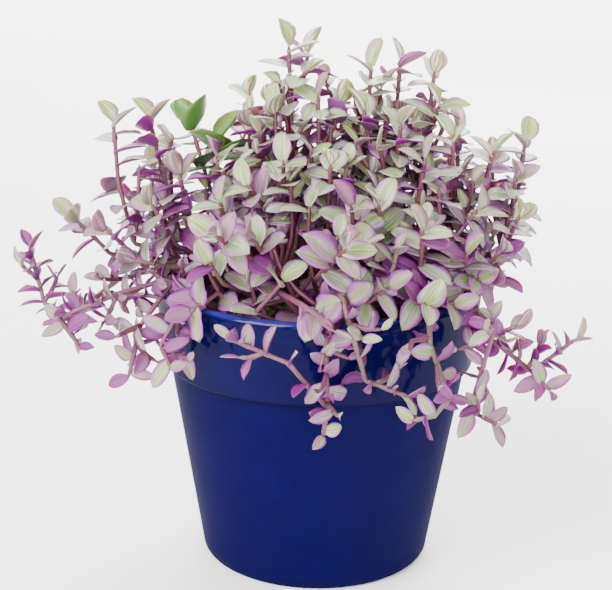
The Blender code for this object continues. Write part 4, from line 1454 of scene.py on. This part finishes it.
def closed_on_axis(rings, low, high):
    """The points and faces of rings round Z, the first and the last closed at a height on the axis."""
    rows, sides = rings.shape[:2]
    points = np.vstack([rings.reshape(-1, 3), [(0, 0, low), (0, 0, high)]])
    bottom, top, last = rows * sides, rows * sides + 1, (rows - 1) * sides
    faces = ring_faces(rows, sides)
    faces += [[(k + 1) % sides, k, bottom] for k in range(sides)]
    faces += [[last + k, last + (k + 1) % sides, top] for k in range(sides)]
    return points, faces


def inside_radius(height):
    """The radius of the pot's inside at a height."""
    return float(np.interp(height, (FLOOR, BAND_FOOT_HEIGHT - NECK_DROP, POT_HEIGHT - LIP_DEPTH),
                           (BASE_RADIUS - WALL, NECK_RADIUS - WALL, MOUTH_RADIUS)))


def pot_profile():
    """The pot's profile from the axis up the outside, over the lip and down the inside to the axis.

    It has a rounded foot, a crisp step under the band, a rounded lip and a fillet on the floor."""
    foot, step, half, lip_foot = FOOT_EDGE, STEP_EDGE, LIP_WIDTH / 2, POT_HEIGHT - LIP_DEPTH
    slope = (NECK_RADIUS - BASE_RADIUS) / BAND_FOOT_HEIGHT
    wall_heights = np.linspace(foot, BAND_FOOT_HEIGHT - 2.5 * step, 24)
    band_heights = np.linspace(BAND_FOOT_HEIGHT + 2 * step, lip_foot, 9)
    inner_heights = np.linspace(lip_foot, FLOOR + foot, 18)
    neck = (NECK_RADIUS + 1.2 * step, BAND_FOOT_HEIGHT - 1.2 * step)
    band_foot = (BAND_FOOT_RADIUS - 2 * step, BAND_FOOT_HEIGHT + 2 * step)
    corner = inside_radius(inner_heights[-1]) - foot
    return [
        (0, 0),
        (BASE_RADIUS - foot, 0),
        *arc((BASE_RADIUS - foot, foot), (foot, foot), -75, -10, 6),
        *[(BASE_RADIUS + slope * height, height) for height in wall_heights],
        *arc(neck, (1.4 * step, 1.2 * step), 180, 92, 5),
        *arc(band_foot, (2 * step, 2 * step), -88, -6, 7),
        *[(float(outside_radius(height)), height) for height in band_heights],
        *arc((RIM_RADIUS - half, lip_foot), (half, LIP_DEPTH), 8, 172, 15),
        *[(inside_radius(height), height) for height in inner_heights],
        *arc((corner, FLOOR + foot), (foot, foot), -12, -90, 6),
        (0, FLOOR),
    ]


def fine_pot():
    """The pot as its profile turned round Z, with its sharp edges kept."""
    profile = pot_profile()
    radius, height = np.array(profile[1:-1]).T
    rings = rings_at(radius, height, POT_FINE_SIDES)
    points, faces = closed_on_axis(rings, profile[0][1], profile[-1][1])
    made = piece("pot_glazed", points, faces, [cobalt_glaze()])
    made.data.set_sharp_from_angle(angle=math.radians(SHARP_EDGE))
    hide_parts("pot")
    return made


def value_noise(x, y, height, size, seed):
    """Smooth random numbers up to a height over a plane, one lattice cell to each size.

    Each is the mean of its cell's corners, weighted by s^2 (3 - 2 s) across the cell both ways."""
    lattice = np.random.default_rng((SEED, seed)).uniform(-1, 1, (LATTICE, LATTICE))
    fx, fy = x / size + LATTICE // 2, y / size + LATTICE // 2
    ix, iy = np.floor(fx).astype(int) % (LATTICE - 1), np.floor(fy).astype(int) % (LATTICE - 1)
    sx, sy = fx - np.floor(fx), fy - np.floor(fy)
    sx, sy = sx * sx * (3 - 2 * sx), sy * sy * (3 - 2 * sy)
    low = lattice[ix, iy] * (1 - sx) + lattice[ix + 1, iy] * sx
    high = lattice[ix, iy + 1] * (1 - sx) + lattice[ix + 1, iy + 1] * sx
    return height * (low * (1 - sy) + high * sy)


def soil_height(x, y):
    """The soil's height: the solid soil's low swell (1 - r^2), with clods and grains on it.

    It is lower at the edge, by r^4, where r is the share of the way to the mouth's edge."""
    away = np.hypot(x, y) / MOUTH_RADIUS
    clods = value_noise(x, y, *BIG_CLODS) + value_noise(x, y, *SMALL_CLODS)
    grains = value_noise(x, y, *GRAINS)
    return SOIL_TOP + SOIL_SWELL * (1 - away**2) + clods + grains - SOIL_EDGE_DROP * away**4


def fine_soil(finish):
    """The soil as a closed body: three rings down the pot's inside, and an uneven top of many rings."""
    low = FLOOR + GAP
    sunk = ((0.6 * BASE_RADIUS, low), (BASE_RADIUS - WALL - 3 * GAP, FLOOR + 5 * GAP),
            (NECK_RADIUS - WALL - GAP, BAND_FOOT_HEIGHT - NECK_DROP))
    body = rings_at(*zip(*sunk), SOIL_FINE_SIDES)
    edge = inside_radius(SOIL_TOP) - GAP
    radius = edge * np.sqrt(np.linspace(1.0, SOIL_CENTRE_SHARE, SOIL_RINGS))
    top = rings_at(radius, np.zeros(SOIL_RINGS), SOIL_FINE_SIDES)
    top[..., 2] = soil_height(top[..., 0], top[..., 1])
    points, faces = closed_on_axis(np.concatenate([body, top]), low, float(soil_height(0.0, 0.0)))
    made = piece("soil_bed", points, faces, [finish])
    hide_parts("soil")
    return made


def scattered(count, rng, reach):
    """Places on the soil inside a radius, evenly spread."""
    turn = rng.uniform(0, 2 * math.pi, count)
    away = reach * np.sqrt(rng.uniform(0, 1, count))
    x, y = away * np.cos(turn), away * np.sin(turn)
    return np.stack([x, y, soil_height(x, y)], axis=1)


def soil_crumbs(finish):
    """Loose crumbs and bits of bark on the soil, most of them small, each a rough lump."""
    rng = np.random.default_rng((SEED, 21))
    shape = bmesh.new()
    bmesh.ops.create_icosphere(shape, subdivisions=1, radius=1)
    unit_points = np.array([tuple(v.co) for v in shape.verts])
    unit_faces = [[v.index for v in f.verts] for f in shape.faces]
    shape.free()
    size = rng.uniform(*CRUMB_SIZES, (CRUMBS, 1, 1)) ** CRUMB_POWER * CRUMB_RADIUS * MM
    stretch = rng.uniform(*CRUMB_STRETCH, (CRUMBS, 1, 3))
    rough = rng.uniform(*CRUMB_ROUGHNESS, (CRUMBS, len(unit_points), 1))
    points = unit_points[None] * size * stretch * rough
    centre = scattered(CRUMBS, rng, MOUTH_RADIUS - CRUMB_EDGE)[:, None, :]
    points = points + centre + [0, 0, SUNK]
    starts = range(0, CRUMBS * len(unit_points), len(unit_points))
    faces = [[start + point for point in face] for start in starts for face in unit_faces]
    made = piece("soil_crumbs", points.reshape(-1, 3), faces, [finish], smooth=False)
    return made


def moss(finish):
    """Moss in patches on the soil: short three-sided spikes that lean out of each tuft."""
    rng = np.random.default_rng((SEED, 22))
    centres = scattered(TUFTS, rng, MOUTH_RADIUS - TUFT_EDGE)
    centres[:TUFTS_IN_CLEARING, :2] = CLEARING + rng.normal(0, TUFT_SCATTER, (TUFTS_IN_CLEARING, 2)) * MM
    tufts = np.repeat(centres, SPIKES, axis=0)
    spread = rng.normal(0, 1, (len(tufts), 2)) * TUFT_SPREAD * MM
    x, y = tufts[:, 0] + spread[:, 0], tufts[:, 1] + spread[:, 1]
    kept = np.hypot(x, y) < MOUTH_RADIUS - SPIKE_EDGE
    x, y = x[kept], y[kept]
    foot = np.stack([x, y, soil_height(x, y) - SUNK], axis=1)
    count = len(foot)
    lean = rng.normal(0, SPIKE_LEAN, (count, 3)) * [1, 1, 0] + [0, 0, 1]
    tip = foot + lean * rng.uniform(*SPIKE_LENGTH, (count, 1)) * MM
    turn = rng.uniform(0, 2 * math.pi, (count, 1)) + np.arange(SPIKE_SIDES) * 2 * math.pi / SPIKE_SIDES
    ring = np.stack([np.cos(turn), np.sin(turn), np.zeros_like(turn)], axis=-1) * SPIKE_RADIUS * MM
    points = np.concatenate([foot[:, None] + ring, tip[:, None]], axis=1).reshape(-1, 3)
    spike = ((0, 1, 3), (1, 2, 3), (2, 0, 3), (2, 1, 0))
    faces = [[4 * n + corner for corner in face] for n in range(count) for face in spike]
    where = np.tile([(0.5, 0.0), (0.5, 0.0), (0.5, 0.0), (0.5, 1.0)], (count, 1))
    made = piece("moss", points, faces, [finish], where=where)
    return made


# The stage, the lights and the camera

def make_floor():
    """A wide pale floor that curves up far behind the pot."""
    across = np.linspace(-STAGE_HALF_WIDTH, STAGE_HALF_WIDTH, 3)
    radius = STAGE_BEND_RADIUS
    bend = [(STAGE_BEND + radius * math.sin(turn), radius - radius * math.cos(turn))
            for turn in np.linspace(0.1, math.pi / 2, 10)]
    along = [(STAGE_FRONT, 0.0), (0.0, 0.0), (STAGE_BEND, 0.0), *bend, (STAGE_BEND + radius, STAGE_TOP)]
    points = [(x, y, z) for y, z in along for x in across]
    corners_from = [3 * row + column for row in range(len(along) - 1) for column in range(2)]
    faces = [[first, first + 1, first + 4, first + 3] for first in corners_from]
    piece("floor", points, faces, [floor_finish()])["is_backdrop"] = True


def area_light(name, place, target, size, watts):
    """A rectangular white light that faces its target."""
    light = bpy.data.lights.new(name, "AREA")
    light.shape = "RECTANGLE"
    light.size, light.size_y = size
    light.energy = watts
    lamp = bpy.data.objects.new(name, light)
    lamp.location = place
    lamp.rotation_euler = (Vector(target) - Vector(place)).to_track_quat("-Z", "Y").to_euler()
    bpy.context.scene.collection.objects.link(lamp)


def make_lights():
    """Even light from all round, soft lights from the upper left, from behind and from the front, two
    upright strips, and one over the floor far behind."""
    world = bpy.data.worlds.new("studio")
    bpy.context.scene.world = world
    world.use_nodes = True
    sky = world.node_tree.nodes["Background"].inputs
    sky["Color"].default_value = (1.0, 1.0, 1.0, 1)
    sky["Strength"].default_value = WORLD_STRENGTH
    for light in LIGHTS:
        area_light(*light)


def make_camera():
    """The camera at the photograph's place: well above the rim, looking down at the pot."""
    pitch, yaw, roll = (math.radians(angle) for angle in (CAMERA_PITCH, CAMERA_YAW, CAMERA_ROLL))
    ahead = Vector((math.sin(yaw) * math.cos(pitch), math.cos(yaw) * math.cos(pitch), -math.sin(pitch)))
    right = ahead.cross(Vector((0, 0, 1))).normalized()
    up = right.cross(ahead)
    cosine, sine = math.cos(roll), math.sin(roll)
    right, up = right * cosine + up * sine, up * cosine - right * sine
    data = bpy.data.cameras.new("camera")
    data.lens = CAMERA_LENS
    data.sensor_width = 36
    data.clip_start = 0.01
    camera = bpy.data.objects.new("camera", data)
    camera.matrix_world = Matrix((right, up, -ahead)).transposed().to_4x4()
    camera.location = CAMERA_PLACE
    bpy.context.scene.collection.objects.link(camera)
    bpy.context.scene.camera = camera


def repeat_plant():
    """The stems and leaves of the solid plant, grown again by the same rule."""
    crowd = Crowd()
    work = turned((
        (0, 0), (BASE_RADIUS - FOOT_EDGE, 0), (BASE_RADIUS, FOOT_EDGE),
        (NECK_RADIUS, BAND_FOOT_HEIGHT - STEP_EDGE), (BAND_FOOT_RADIUS - STEP_EDGE, BAND_FOOT_HEIGHT),
        (BAND_FOOT_RADIUS, BAND_FOOT_HEIGHT + 2 * STEP_EDGE), *lip_points(),
        (NECK_RADIUS - WALL, BAND_FOOT_HEIGHT - NECK_DROP), (BASE_RADIUS - WALL, FLOOR), (0, FLOOR),
    ), POT_SIDES)
    points = np.array([tuple(v.co) for v in work.verts])
    crowd.add(points, [tuple(v.index for v in f.verts) for f in work.faces], "pot")
    work.free()
    stems = grow_stems(crowd)
    return crowd, stems, grow_leaves(stems, crowd)


def corners(bounds):
    """A box's two corners as plain lists."""
    return [[round(float(number), 6) for number in corner] for corner in bounds]


def main():
    """Grows the plant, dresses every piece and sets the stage."""
    solid_box = corners(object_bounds())
    make_camera()
    crowd, stems, leaves = repeat_plant()
    added = fill_dome(stems, crowd)
    added.update(fill_trails(stems, crowd))
    filled = fill_leaves(stems, added, crowd)
    striped = [leaf_upper(), leaf_under(), stem_skin()]
    plain = green_leaf()
    for number, (name, lines) in enumerate(stems.items()):
        finishes = [plain, plain, striped[2]] if name == "green_sprig" else striped
        made = fine_shoot(number, name, lines + added.get(name, []), leaves[name] + filled[name],
                          finishes)
        slot_of(name)
        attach(made, "root")
    earth = soil_surface()
    for made in (fine_pot(), fine_soil(earth), soil_crumbs(earth), moss(moss_tuft())):
        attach(made, "root")
    make_floor()
    make_lights()
    {"cad": solid_box, "visual": corners(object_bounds())}


main()
